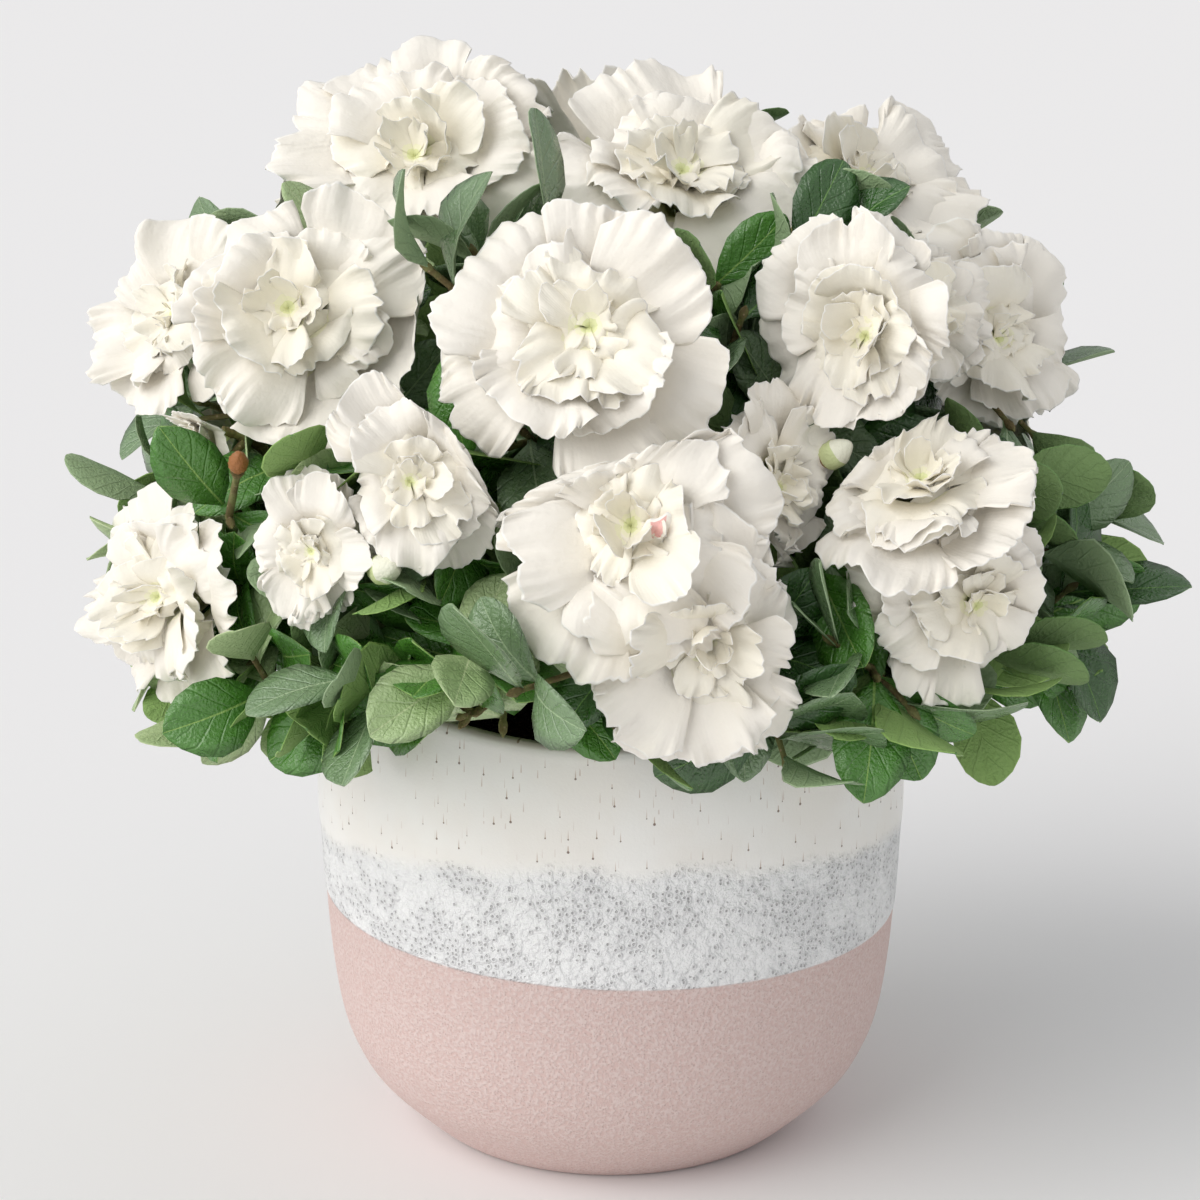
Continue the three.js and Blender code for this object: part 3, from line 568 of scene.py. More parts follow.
def crown_tips(count, lowest, highest, depths, start_angle=0.0, row_base=0):
    tips = []
    for n in range(count):
        draw = draws_for(row_base + n)
        height = mix(lowest, highest, (n + 0.5) / count)
        ring = math.sqrt(1 - height**2) if height > 0 else math.sqrt(1 - height**4)
        angle = start_angle + n * GOLDEN_ANGLE
        depth = mix(*depths(n), draw())
        tall = CROWN_TALL if height > 0 else CROWN_DEEP
        wide = CROWN_WIDE * ring
        reach = np.array([wide * math.cos(angle), wide * math.sin(angle), tall * height])
        tips.append(CROWN_CORE + reach * depth)
    return tips


def angle_between(a, b):
    return math.acos(max(-1.0, min(1.0, float(unit(a) @ unit(b)))))


def branch_to(row, tip, own_twigs, depth=0.0):
    best = None
    for curve in own_twigs:
        for share in FORKS:
            start = inside_stem(curve, share)
            way = tip - start
            turn = angle_between(bezier_tangent(curve, share), way)
            cost = length_of(way) * (1 + TURN_COST * turn**2)
            twig = straight(start, tip)
            if (best is None or cost < best[0]) and twig_is_free(row, twig, depth):
                best = (cost, twig)
    return best and best[1]


def grow_leafy(row, tip, own, radii, draw, clear=LEAF_CLEAR, depth=0.0):
    """Grows a twig to a tip where there is room for it and for at least one of its leaves."""
    twig = branch_to(row, tip, own, depth)
    if twig is not None and set_spray(row, twig, SHOOT_SPRAY, draw, clear, depth):
        own.append(twig)
        twigs.append((twig, *radii, True))


def grow():
    """Grows every mass as the solids grow it, then fills it with finer twigs and more leaves."""
    tips = [vec(tip) for tip in OUTER_SHOOTS]
    tips += crown_tips(
        SHOOTS, SHOOT_LOWEST, SHOOT_HIGHEST, lambda n: INNER_DEPTH if n % 3 == 2 else OUTER_DEPTH
    )
    tips_of = [[] for _ in MASSES]
    kept = []
    for tip in tips:
        if hidden_by_bloom(tip) or any(length_of(tip - other) < SHOOT_APART for other in kept):
            continue
        kept.append(tip)
        tips_of[mass_at(tip)].append(tip)
    for row, mass in enumerate(MASSES):
        own = []
        for i, stem in enumerate(mass["stems"]):
            own.append(stem)
            if mass["blooms"]:
                draw = draws_for(BLOOM_DRAWS + 10 * row + i)
                for _ in range(SOLID_RUFFLES):
                    draw()
                twigs.append((stem, STALK_RADIUS, STALK_END, False))
                set_spray(row, stem, BLOOM_SPRAY, draw)
            else:
                twigs.append((stem, STALK_RADIUS, SKIRT_END, True))
                set_spray(row, stem, SHOOT_SPRAY, draws_for(SKIRT_DRAWS + row))
        tips_of[row].sort(key=lambda tip: length_of(tip - mass["knot"]))
        for i, tip in enumerate(tips_of[row]):
            grow_leafy(row, tip, own, SHOOT_TWIG, draws_for(SHOOT_DRAWS + 100 * row + i))
        mass["twigs"] = own
    for spot, length, kind in BUD_SPOTS:
        tip = vec(spot)
        row = mass_at(tip)
        twig = branch_to(row, tip, MASSES[row]["twigs"], FINE_DEPTH)
        if twig is not None:
            way = twig[2] - twig[0]
            along = unit(way + BUD_LIFT * length_of(way) * UP)
            buds.append((tip, along, length, kind))
            twigs.append((twig, *BUD_TWIG, False))
            leaves.keep_clear([tip + along * share * length for share in (0, 0.5, 1)], NO_SPRAY)
    fine = [vec(tip) for tip in GAP_SHOOTS]
    fine += crown_tips(
        FINE_SHOOTS,
        FINE_LOWEST,
        FINE_HIGHEST,
        lambda n: FINE_DEPTHS[n % len(FINE_DEPTHS)],
        FINE_TURN,
        FINE_TIP_DRAWS,
    )
    for i, tip in enumerate(fine):
        if not hidden_by_bloom(tip):
            row = mass_at(tip)
            own, draw = MASSES[row]["twigs"], draws_for(FINE_DRAWS + i)
            grow_leafy(row, tip, own, FINE_TWIG, draw, FINE_CLEAR, FINE_DEPTH)


def without_bare_ends(rows):
    """The twigs cut back to their last leaf or side twig."""
    holds = np.array([row[0] for row in leaves.rows] + [curve[0] for curve, *_ in rows])
    holds = np.concatenate([holds, [tip for tip, *_ in buds]])
    shares = np.linspace(0, 1, HOLD_CHECKS)
    kept = []
    for curve, start_radius, end_radius, budded in rows:
        if budded:
            line = points_on(curve, HOLD_CHECKS)
            near = (np.linalg.norm(line[:, None] - holds[None], axis=2) < HOLD_REACH).any(axis=1)
            share = float(shares[near].max())
            if share <= SHORTEST_TWIG:
                continue
            curve = (curve[0], mix(curve[0], curve[1], share), bezier(curve, share))
            end_radius = mix(start_radius, end_radius, share)
        kept.append((curve, start_radius, end_radius, budded))
    return kept


grow()
twigs = without_bare_ends(twigs)


# Materials
def new_material(name, colour, roughness, **values):
    """A material of one colour, with the wiring of its tree and its shader."""
    material = bpy.data.materials.new(name)
    material.use_nodes = True
    shader = material.node_tree.nodes["Principled BSDF"]
    shader.inputs["Base Color"].default_value = (*colour, 1.0)
    shader.inputs["Roughness"].default_value = roughness
    for socket, value in values.items():
        shader.inputs[socket.replace("_", " ")].default_value = value
    return material, Wiring(material.node_tree), shader


def srgb(r, g, b):
    """A colour named by its eight-bit values on a screen, made linear."""
    return tuple(
        c / 12.92 if c <= 0.04045 else ((c + 0.055) / 1.055) ** 2.4 for c in (r / 255, g / 255, b / 255)
    )


class Wiring:
    """Short ways to add and join the nodes of one tree."""

    def __init__(self, tree):
        self.tree = tree

    def add(self, kind, inputs=None, **settings):
        node = self.tree.nodes.new(kind)
        for key, value in settings.items():
            setattr(node, key, value)
        for key, value in (inputs or {}).items():
            socket = node.inputs[key]
            if isinstance(value, bpy.types.NodeSocket):
                self.tree.links.new(value, socket)
            else:
                socket.default_value = value
        return node

    def first(self, kind, inputs=None, **settings):
        return self.add(kind, inputs, **settings).outputs[0]

    def join(self, source, target):
        self.tree.links.new(source, target)

    def math(self, operation, a, b=0.0):
        return self.first("ShaderNodeMath", {0: a, 1: b}, operation=operation)

    def plus(self, a, b):
        return self.math("ADD", a, b)

    def minus(self, a, b):
        return self.math("SUBTRACT", a, b)

    def times(self, a, b):
        return self.math("MULTIPLY", a, b)

    def parts(self, vector):
        return self.add("ShaderNodeSeparateXYZ", {0: vector}).outputs

    def noise(self, place, scale, detail):
        return self.first("ShaderNodeTexNoise", {"Vector": place, "Scale": scale, "Detail": detail})

    def group(self, tree, **values):
        values = {label.replace("_", " "): value for label, value in values.items()}
        return self.first("ShaderNodeGroup", values, node_tree=tree)

    def ramp(self, value, low, high, to_low=0.0, to_high=1.0):
        values = {"Value": value, "From Min": low, "From Max": high, "To Min": to_low, "To Max": to_high}
        return self.first("ShaderNodeMapRange", values, interpolation_type="SMOOTHSTEP")

    def blend(self, share, a, b):
        a, b = ((*value, 1.0) if isinstance(value, tuple) else value for value in (a, b))
        return self.add("ShaderNodeMix", {0: share, 6: a, 7: b}, data_type="RGBA").outputs[2]


def new_tree(kind, name, inputs, output):
    """A tree with named inputs of the given kinds and one output: the tree, its wiring, its inputs."""
    tree = bpy.data.node_groups.new(name, kind)
    for label, socket in inputs.items():
        tree.interface.new_socket(label, in_out="INPUT", socket_type="NodeSocket" + socket)
    label, socket = output
    tree.interface.new_socket(label, in_out="OUTPUT", socket_type="NodeSocket" + socket)
    w = Wiring(tree)
    return tree, w, w.add("NodeGroupInput").outputs


def shader_group(name, inputs, output, work):
    """A shader node group: a place and some values in, one value out, worked out by a function."""
    sockets = {"Place": "Vector", **{label: "Float" for label in inputs}}
    tree, w, given = new_tree("ShaderNodeTree", name, sockets, (output, "Float"))
    value = work(w, *[given[label] for label in sockets])
    w.join(value, w.add("NodeGroupOutput").inputs[0])
    return tree


def grain_mask(w, place, scale, detail, low, high):
    """Grain of any scale: a soft noise spread between a low and a high value."""
    return w.ramp(w.noise(place, scale, detail), low, high)


def dots_mask(w, place, scale, size, share):
    """Scattered dots, such as specks and pinholes: only a share of the cells holds one."""
    cells = w.add("ShaderNodeTexVoronoi", {"Vector": place, "Scale": scale}).outputs
    inside = w.ramp(cells["Distance"], size, w.times(size, SOFT_EDGE))
    return w.times(inside, w.math("LESS_THAN", w.parts(cells["Color"])[0], share))


def vein_height(w, place, side_veins, slant):
    """Leaf veins on a blade's own map: slanting side veins that meet the midrib, higher than the skin."""
    across, along, _ = w.parts(place)
    aside = w.math("ABSOLUTE", w.minus(across, 0.5))
    bowed = w.times(w.math("POWER", w.times(aside, 2.0), VEIN_BOW), slant)
    wave_at = w.times(w.minus(w.times(along, side_veins), bowed), math.pi)
    return w.ramp(w.math("ABSOLUTE", w.math("SINE", wave_at)), 0.0, VEIN_WIDE)


def petal_line_height(w, place, lines):
    """The fine lines that run up a petal on its own map."""
    across, along, _ = w.parts(place)
    return w.times(w.math("ABSOLUTE", w.math("SINE", w.times(across, lines))), along)


SOFT_EDGE = 0.6
VEIN_BOW = 0.8
VEIN_WIDE = 0.35
GLOSS_SWING = 0.2
GRAIN = shader_group("grain", ("Scale", "Detail", "Low", "High"), "Mask", grain_mask)
DOTS = shader_group("dots", ("Scale", "Size", "Share"), "Mask", dots_mask)
VEINS = shader_group("leaf_veins", ("Side veins", "Slant"), "Height", vein_height)
PETAL_LINES = shader_group("petal_lines", ("Lines",), "Height", petal_line_height)


def object_place(w):
    return w.add("ShaderNodeTexCoord").outputs["Object"]


def grain(w, place, scale, low, high, detail=3.0):
    return w.group(GRAIN, Place=place, Scale=scale, Detail=detail, Low=low, High=high)


def dots(w, place, scale, size, share):
    return w.group(DOTS, Place=place, Scale=scale, Size=size, Share=share)


def uneven_gloss(w, shader, place, scale, roughness):
    """A gloss that comes and goes a little around its mean roughness."""
    shine = w.times(grain(w, place, scale, 0.3, 0.7), GLOSS_SWING)
    w.join(w.plus(shine, roughness - GLOSS_SWING / 2), shader.inputs["Roughness"])


def add_bump(w, shader, height, strength, distance):
    bump = w.first("ShaderNodeBump", {"Height": height, "Strength": strength, "Distance": distance})
    w.join(bump, shader.inputs["Normal"])


def link_object(name, data):
    piece = bpy.data.objects.new(name, data)
    bpy.context.scene.collection.objects.link(piece)
    return piece


def link_mesh(name, verts, faces):
    """A smooth piece from points in millimetres."""
    mesh = bpy.data.meshes.new(name)
    mesh.from_pydata([tuple(v) for v in np.asarray(verts) * MM], [], faces)
    mesh.shade_smooth()
    mesh.update()
    return link_object(name, mesh)


# Leaves, as shares of their length
BLADE_STATIONS = (0.0, 0.08, 0.26, 0.46, 0.66, 0.82, 0.93, 0.985, 1.0)
BLADE_WIDEST = 0.315
BLADE_FROM = 0.06
BLADE_FULL = 0.58
BLADE_STALK = 0.012
BLADE_ROUND = (2.1, 0.62)
TIP_DROP = 0.1
FOLD_EASE = 0.3
MARGIN_WAVE = 0.012
INNER_SHARE = 0.55
RIB_HALF = 0.008
RIB_TAPER = 1.4
MIDRIB_THICK = 0.012 * 1.6
MARGIN_THICK = 0.012 * 0.7
UNDER_SHARE = 0.96
LEAF_PARTS = ("Blade", "Rib", "Underside")
BLADE_PART, RIB_PART, UNDERSIDE_PART = range(3)


def blade_half_width(t):
    """Half the blade's width at a share of its length: a short stalk, then a blade with a round end."""
    if t < BLADE_FROM:
        return BLADE_STALK
    if t < BLADE_FULL:
        rise = math.sin(math.pi / 2 * (t - BLADE_FROM) / (BLADE_FULL - BLADE_FROM))
        return mix(BLADE_STALK, BLADE_WIDEST, rise)
    fall = ((t - BLADE_FULL) / (1 - BLADE_FULL)) ** BLADE_ROUND[0]
    return BLADE_WIDEST * max(0.006, 1 - fall) ** BLADE_ROUND[1]


def leaf_template(name, fold, arch, twist):
    """A closed thin leaf along +Z, its upper side to +Y: blade halves, a rib between, an underside."""
    upper_columns, lower_columns = 6, 3
    verts, uvs = [], []

    def surface(x, t, half):
        share = x / max(half, 1e-6)
        curl = arch * math.sin(math.pi * t) - TIP_DROP * t * t
        y = fold * abs(x) * (1 - FOLD_EASE * abs(share)) + curl
        return y + MARGIN_WAVE * math.sin(9 * t + 2 * share) * abs(share) + twist * x * t

    for t in BLADE_STATIONS:
        half = blade_half_width(t)
        rib = min(RIB_HALF * (RIB_TAPER - t), half * 0.5)
        for x in (-half, -half * INNER_SHARE, -rib, rib, half * INNER_SHARE, half):
            verts.append((x, surface(x, t, half), t))
            uvs.append((x / half * 0.5 + 0.5, t))
    base = len(verts)
    for t in BLADE_STATIONS:
        half = blade_half_width(t)
        for x in (-half * UNDER_SHARE, 0.0, half * UNDER_SHARE):
            thick = MIDRIB_THICK if x == 0 else MARGIN_THICK
            verts.append((x, surface(x, t, half) - thick, t))
            uvs.append((x / half * 0.5 + 0.5, t))
    faces, kinds = [], []
    for i in range(len(BLADE_STATIONS) - 1):
        a = i * upper_columns
        b = a + upper_columns
        for k in range(upper_columns - 1):
            faces.append((a + k, b + k, b + k + 1, a + k + 1))
            kinds.append(RIB_PART if k == 2 else BLADE_PART)
        c = base + i * lower_columns
        d = c + lower_columns
        for k in range(lower_columns - 1):
            faces.append((c + k, c + k + 1, d + k + 1, d + k))
            kinds.append(UNDERSIDE_PART)
        faces.append((a, c, d, b))
        faces.append((a + 5, b + 5, d + 2, c + 2))
        kinds += [RIB_PART, RIB_PART]
    last = (len(BLADE_STATIONS) - 1) * upper_columns
    tip = base + (len(BLADE_STATIONS) - 1) * lower_columns
    faces.append((0, 1, 2, 3, 4, 5, base + 2, base + 1, base))
    faces.append((last + 5, last + 4, last + 3, last + 2, last + 1, last, tip, tip + 1, tip + 2))
    kinds += [UNDERSIDE_PART, BLADE_PART]
    mesh = bpy.data.meshes.new(name)
    mesh.from_pydata(verts, [], faces)
    mesh.shade_smooth()
    uv_layer = mesh.uv_layers.new(name="blade")
    for loop in mesh.loops:
        uv_layer.data[loop.index].uv = uvs[loop.vertex_index]
    kind = mesh.attributes.new("leaf_part", "INT", "FACE")
    kind.data.foreach_set("value", kinds)
    return bpy.data.objects.new(name, mesh)


LEAF_FORMS = [
    leaf_template("leaf_flat", 0.18, 0.05, 0.0),
    leaf_template("leaf_cupped", 0.4, 0.09, 0.25),
    leaf_template("leaf_bent", 0.28, -0.02, -0.3),
]


def leaf_material(name, colour, roughness, gloss, veins):
    """Leaf skin: a plain green with raised veins, finely rough, and a gloss that comes and goes."""
    material, w, shader = new_material(name, colour, roughness, Specular_IOR_Level=gloss)
    blade = w.first("ShaderNodeUVMap", uv_map="blade")
    ribs = w.group(VEINS, Place=blade, Side_veins=5.5, Slant=2.0)
    place = object_place(w)
    uneven_gloss(w, shader, place, 260.0, roughness)
    skin = w.times(grain(w, place, 1100.0, 0.3, 0.7), 0.5)
    add_bump(w, shader, w.plus(w.times(ribs, veins), skin), 0.5, 0.0009)
    return material


def named(w, name, kind):
    return w.first("GeometryNodeInputNamedAttribute", {"Name": name}, data_type=kind)


def is_number(w, value, number):
    return w.first("FunctionNodeCompare", {2: value, 3: number}, data_type="INT", operation="EQUAL")


def finished(w, flow, dressings):
    """Closes a growth tree: real geometry, then each material on the faces it is picked for."""
    flow = w.first("GeometryNodeRealizeInstances", {0: flow})
    for picked, material in dressings:
        values = {"Geometry": flow, "Selection": picked, "Material": material}
        flow = w.first("GeometryNodeSetMaterial", values)
    w.join(flow, w.add("NodeGroupOutput").inputs[0])


def leaf_spray_tree():
    """Geometry Nodes: one leaf form set on every point, by its turn, length and form number."""
    forms = [f"Leaf form {form}" for form in range(len(LEAF_FORMS))]
    inputs = {"Points": "Geometry", **dict.fromkeys(forms, "Object"), **dict.fromkeys(LEAF_PARTS, "Material")}
    tree, w, given = new_tree("GeometryNodeTree", "leaf_sprays", inputs, ("Leaves", "Geometry"))
    form_number = named(w, "leaf_form", "INT")
    rotation = w.first("FunctionNodeEulerToRotation", {0: named(w, "leaf_turn", "FLOAT_VECTOR")})
    size = named(w, "leaf_size", "FLOAT_VECTOR")
    joined = w.add("GeometryNodeJoinGeometry")
    for number, form in enumerate(forms):
        template = w.add("GeometryNodeObjectInfo", {"Object": given[form]})
        placed = w.first(
            "GeometryNodeInstanceOnPoints",
            {
                "Points": given["Points"],
                "Selection": is_number(w, form_number, number),
                "Instance": template.outputs["Geometry"],
                "Rotation": rotation,
                "Scale": size,
            },
        )
        w.join(placed, joined.inputs[0])
    part = named(w, "leaf_part", "INT")
    dressings = [(is_number(w, part, number), given[name]) for number, name in enumerate(LEAF_PARTS)]
    finished(w, joined.outputs[0], dressings)
    return tree


def run_nodes(piece, tree, values):
    """Runs a tree on a piece with values by socket name, and keeps the result as a plain mesh."""
    modifier = piece.modifiers.new("growth", "NODES")
    modifier.node_group = tree
    for item in tree.interface.items_tree:
        if item.item_type == "SOCKET" and item.in_out == "INPUT" and item.name in values:
            modifier[item.identifier] = values[item.name]
    bpy.context.view_layer.update()
    seen = bpy.context.evaluated_depsgraph_get()
    made = bpy.data.meshes.new_from_object(piece.evaluated_get(seen))
    piece.modifiers.clear()
    old = piece.data
    piece.data = made
    bpy.data.meshes.remove(old)
    return piece


def points_piece(name, points, attributes, edges=()):
    """A piece of bare points in metres, joined by edges, with a named value on every point."""
    mesh = bpy.data.meshes.new(name)
    mesh.from_pydata([tuple(point) for point in points], edges, [])
    for key, (kind, values) in attributes.items():
        layer = mesh.attributes.new(key, kind, "POINT")
        layer.data.foreach_set("vector" if kind == "FLOAT_VECTOR" else "value", np.ravel(values))
    return link_object(name, mesh)


# Blade, rib and underside of each green, and its roughness.
GREENS = [
    ("leaf_deep", srgb(50, 94, 35), srgb(114, 154, 86), srgb(118, 146, 92), 0.31),
    ("leaf_blue", srgb(120, 149, 106), srgb(168, 190, 150), srgb(150, 174, 132), 0.29),
    ("leaf_mid", srgb(78, 135, 46), srgb(150, 186, 102), srgb(136, 168, 98), 0.31),
    # The palest green is a fresh green whitened into a painted sheen, the pale glare of lit leaves.
    ("leaf_fresh", srgb(176, 201, 143), srgb(202, 218, 168), srgb(178, 200, 146), 0.33),
]
# The greens are dealt paler low down and to the left and darker to the right: painted light from the left and
# painted shade on the right. Axis, from, to and weight.
PAINTED_LIGHT_SLOPES = ((2, 190.0, 120.0, 0.35), (0, 40.0, -100.0, 0.3), (0, 50.0, 120.0, -0.22))
GREEN_CHANCE = 0.75
GREEN_RANGE = 1.2
LEAF_NARROWEST = 0.86
LEAF_WIDTH_RANGE = 0.26


def make_leaves():
    tree = leaf_spray_tree()
    forms = {f"Leaf form {i}": form for i, form in enumerate(LEAF_FORMS)}
    chosen = [[] for _ in GREENS]
    for number, (start, axes, length, spray) in enumerate(leaves.rows):
        value = draws_for(GREEN_DRAWS + spray)() * GREEN_CHANCE
        # Paler greens on the lit left and darker ones on the right: painted light and painted shade.
        for axis, low, high, weight in PAINTED_LIGHT_SLOPES:
            value += float(smooth_step(start[axis], low, high) * weight)
        green = min(len(GREENS) - 1, int(max(0.0, value) * len(GREENS) / GREEN_RANGE))
        chosen[green].append((number, start, axes, length))
    pieces = []
    for (name, blade, rib, under, roughness), rows in zip(GREENS, chosen):
        points, turns, sizes, shapes = [], [], [], []
        for number, start, axes, length in rows:
            draw = draws_for(LEAF_DRAWS + number)
            points.append(start * MM)
            turns.append(Matrix([list(axes[:, i]) for i in range(3)]).to_euler())
            wide = LEAF_NARROWEST + LEAF_WIDTH_RANGE * draw()
            sizes.append((length * wide * MM, length * MM, length * MM))
            shapes.append(int(draw() * len(LEAF_FORMS)) % len(LEAF_FORMS))
        piece = points_piece(
            name,
            points,
            {
                "leaf_turn": ("FLOAT_VECTOR", turns),
                "leaf_size": ("FLOAT_VECTOR", sizes),
                "leaf_form": ("INT", shapes),
            },
        )
        values = {
            "Blade": leaf_material(name, blade, roughness, 1.0, 0.7),
            "Rib": leaf_material(name + "_rib", rib, roughness + 0.1, 0.4, 0.3),
            "Underside": leaf_material(name + "_underside", under, 0.7, 0.3, -0.8),
            **forms,
        }
        pieces.append(run_nodes(piece, tree, values))
    return pieces


# Twigs and bark
WOOD_VALUES = ("Step", "Relief", "Grain")


def wood_tree():
    """Geometry Nodes: round wood along every path, as thick as its points say, with bark relief."""
    inputs = {"Paths": "Geometry", "Sides": "Int", **dict.fromkeys(WOOD_VALUES, "Float"), "Bark": "Material"}
    tree, w, given = new_tree("GeometryNodeTree", "grown_wood", inputs, ("Wood", "Geometry"))
    even = {"Curve": w.first("GeometryNodeMeshToCurve", {0: given["Paths"]}), "Length": given["Step"]}
    outline = {"Resolution": given["Sides"], "Radius": 1.0}
    wood = w.first(
        "GeometryNodeCurveToMesh",
        {
            "Curve": w.first("GeometryNodeResampleCurve", even, mode="LENGTH", keep_last_segment=True),
            "Profile Curve": w.first("GeometryNodeCurvePrimitiveCircle", outline),
            "Scale": named(w, "thick", "FLOAT"),
            "Fill Caps": True,
        },
    )
    rough = w.noise(w.first("GeometryNodeInputPosition"), given["Grain"], 3.0)
    amount = w.times(w.minus(rough, 0.5), given["Relief"])
    relief = {0: w.first("GeometryNodeInputNormal"), "Scale": amount}
    push = w.first("ShaderNodeVectorMath", relief, operation="SCALE")
    wood = w.first("GeometryNodeSetPosition", {"Geometry": wood, "Offset": push})
    wood = w.first("GeometryNodeSetShadeSmooth", {"Geometry": wood, "Shade Smooth": True})
    finished(w, wood, [(True, given["Bark"])])
    return tree


def paths_piece(name, paths):
    """A mesh of open paths; each path is a list of points and a list of radii, in millimetres."""
    verts, edges, thick = [], [], []
    for points, radii in paths:
        base = len(verts)
        verts += [point * MM for point in points]
        thick += [radius * MM for radius in radii]
        edges += [(base + i, base + i + 1) for i in range(len(points) - 1)]
    return points_piece(name, verts, {"thick": ("FLOAT", thick)}, edges)


LENTICEL = srgb(168, 148, 116)


def bark_material(name, colour, pale, scale):
    """Bark: a brown in two tones with pale lenticels and a grain that runs over the surface."""
    material, w, shader = new_material(name, colour, 0.85)
    place = object_place(w)
    tint = w.blend(grain(w, place, scale * 0.4, 0.4, 0.65), colour, pale)
    w.join(w.blend(dots(w, place, scale, 0.3, 0.3), tint, LENTICEL), shader.inputs["Base Color"])
    add_bump(w, shader, grain(w, place, scale * 1.6, 0.2, 0.8, 4.0), 0.5, 0.0006)
    return material


TRUNK_STATIONS = 24
TRUNK_SUNK = 0.8
FLARE_FALL = 7
NECK_SWELL = 0.7
BOUGH_STATIONS = 16
BOUGH_SWELL = 0.5
BOUGH_SWELL_FALL = 9
BOUGH_ROOT_RADIUS = 4.6
BOUGH_KNOT_RADIUS = 2.1
TWIG_STATIONS = 9
TWIG_CALYX = 1.9
# A winter bud on the end of a twig: how far each station lies past it, and its radius.
END_BUD = ((0.8, 1.05), (2.2, 1.35), (3.8, 0.95), (5.0, 0.25))
# Sides, spacing, relief and grain of the wood, then the look and the scale of its bark.
WOODS = {
    "bark": ((18, 0.0011, 0.0011, 420.0), ("bark", srgb(104, 84, 66), srgb(138, 120, 98), 500.0)),
    "twigs": ((7, 0.0016, 0.0004, 600.0), ("twig_bark", srgb(112, 98, 62), srgb(128, 128, 78), 700.0)),
}


def trunk_path():
    middle = vec((0, 0, (TRUNK_FOOT[2] + TRUNK_HEAD[2]) / 2))
    curve = (TRUNK_FOOT - UP * TRUNK_SUNK, middle, TRUNK_HEAD)
    radii = [
        TRUNK_NECK_RADIUS
        + (TRUNK_FLARE_RADIUS - TRUNK_NECK_RADIUS) * math.exp(-FLARE_FALL * share)
        + NECK_SWELL * float(smooth_step(share, 0.7, 1.0))
        for share in np.linspace(0, 1, TRUNK_STATIONS)
    ]
    return points_on(curve, TRUNK_STATIONS), radii


def bough_path(mass):
    points = points_on(mass["bough"], BOUGH_STATIONS)
    radii = [
        bough_radius(share) * (1 + BOUGH_SWELL * math.exp(-BOUGH_SWELL_FALL * share))
        for share in np.linspace(0, 1, BOUGH_STATIONS)
    ]
    inside = trunk_axis(min(points[0][2], TRUNK_HEAD[2] - 4)) - UP * 2
    return [inside, *points, mass["knot"]], [BOUGH_ROOT_RADIUS, *radii, BOUGH_KNOT_RADIUS]


def twig_path(curve, start_radius, end_radius, budded):
    points = list(points_on(curve, TWIG_STATIONS))
    radii = [mix(start_radius, end_radius, share) for share in np.linspace(0, 1, TWIG_STATIONS)]
    if not budded:
        return points, [*radii[:-1], TWIG_CALYX]
    along = unit(points[-1] - points[-2])
    points += [points[-1] + along * ahead for ahead, _ in END_BUD]
    return points, radii + [radius for _, radius in END_BUD]


def make_wood():
    tree = wood_tree()
    paths = {
        "bark": [trunk_path(), *[bough_path(mass) for mass in MASSES]],
        "twigs": [twig_path(*twig) for twig in twigs],
    }
    pieces = []
    for name, (values, look) in WOODS.items():
        inputs = dict(zip(("Sides", *WOOD_VALUES), values), Bark=bark_material(*look))
        pieces.append(run_nodes(paths_piece(name, paths[name]), tree, inputs))
    return pieces


# Blooms
def smooth_path(points, shares):
    """Values on a smooth line through the given points, spread evenly over shares 0 to 1."""
    points = np.asarray(points, dtype=float)
    padded = np.concatenate([[2 * points[0] - points[1]], points, [2 * points[-1] - points[-2]]])
    at = np.clip(shares, 0, 1) * (len(points) - 1)
    step = np.minimum(at.astype(int), len(points) - 2)
    t = (at - step)[..., None]
    a, b, c, d = (padded[step + k] for k in range(4))
    return 0.5 * (
        2 * b + (c - a) * t + (2 * a - 5 * b + 4 * c - d) * t**2 + (3 * b - a - 3 * c + d) * t**3
    )


# A bloom's petals stand in rings from the outermost, stage 0, to the heart, stage 4, each ring turned
# against the last. The values of each petal lie between those of the two stages it falls between.
PETAL_RINGS = (5, 5, 5, 8, 6)
RING_STRAY = (0.35, 0.5, 0.7, 0.9, 0.5)
RING_TURN = 0.63
PETAL_STAGES = {
    "path": [
        [(0.05, -0.56), (0.16, -0.4), (0.38, -0.2), (0.66, -0.07), (0.9, -0.03), (1.08, -0.08)],
        [(0.05, -0.5), (0.14, -0.3), (0.3, -0.06), (0.5, 0.06), (0.71, 0.1), (0.89, 0.08)],
        [(0.04, -0.22), (0.11, -0.1), (0.2, 0.02), (0.33, 0.11), (0.47, 0.16), (0.62, 0.17)],
        [(0.0, -0.03), (0.07, 0.03), (0.14, 0.08), (0.22, 0.12), (0.31, 0.15), (0.39, 0.16)],
        [(0.0, 0.02), (0.04, 0.05), (0.08, 0.08), (0.12, 0.11), (0.16, 0.14), (0.19, 0.16)],
    ],
    "wide": [1.2, 1.06, 0.8, 0.42, 0.24],
    "folds": [6.5, 6.0, 5.0, 2.6, 1.6],
    "loose": [0.2, 0.35, 0.7, 1.0, 1.0],
    "columns": [46, 42, 32, 14, 10],
}
PETAL_ROWS = 8
PETAL_WIDTHS = ((0, 0.05), (0.2, 0.12), (0.42, 0.28), (0.65, 0.46), (0.86, 0.54), (1, 0.5))
PETAL_THICK = 0.3
PETAL_EDGE = 0.14
MARGIN_FROM = 0.978
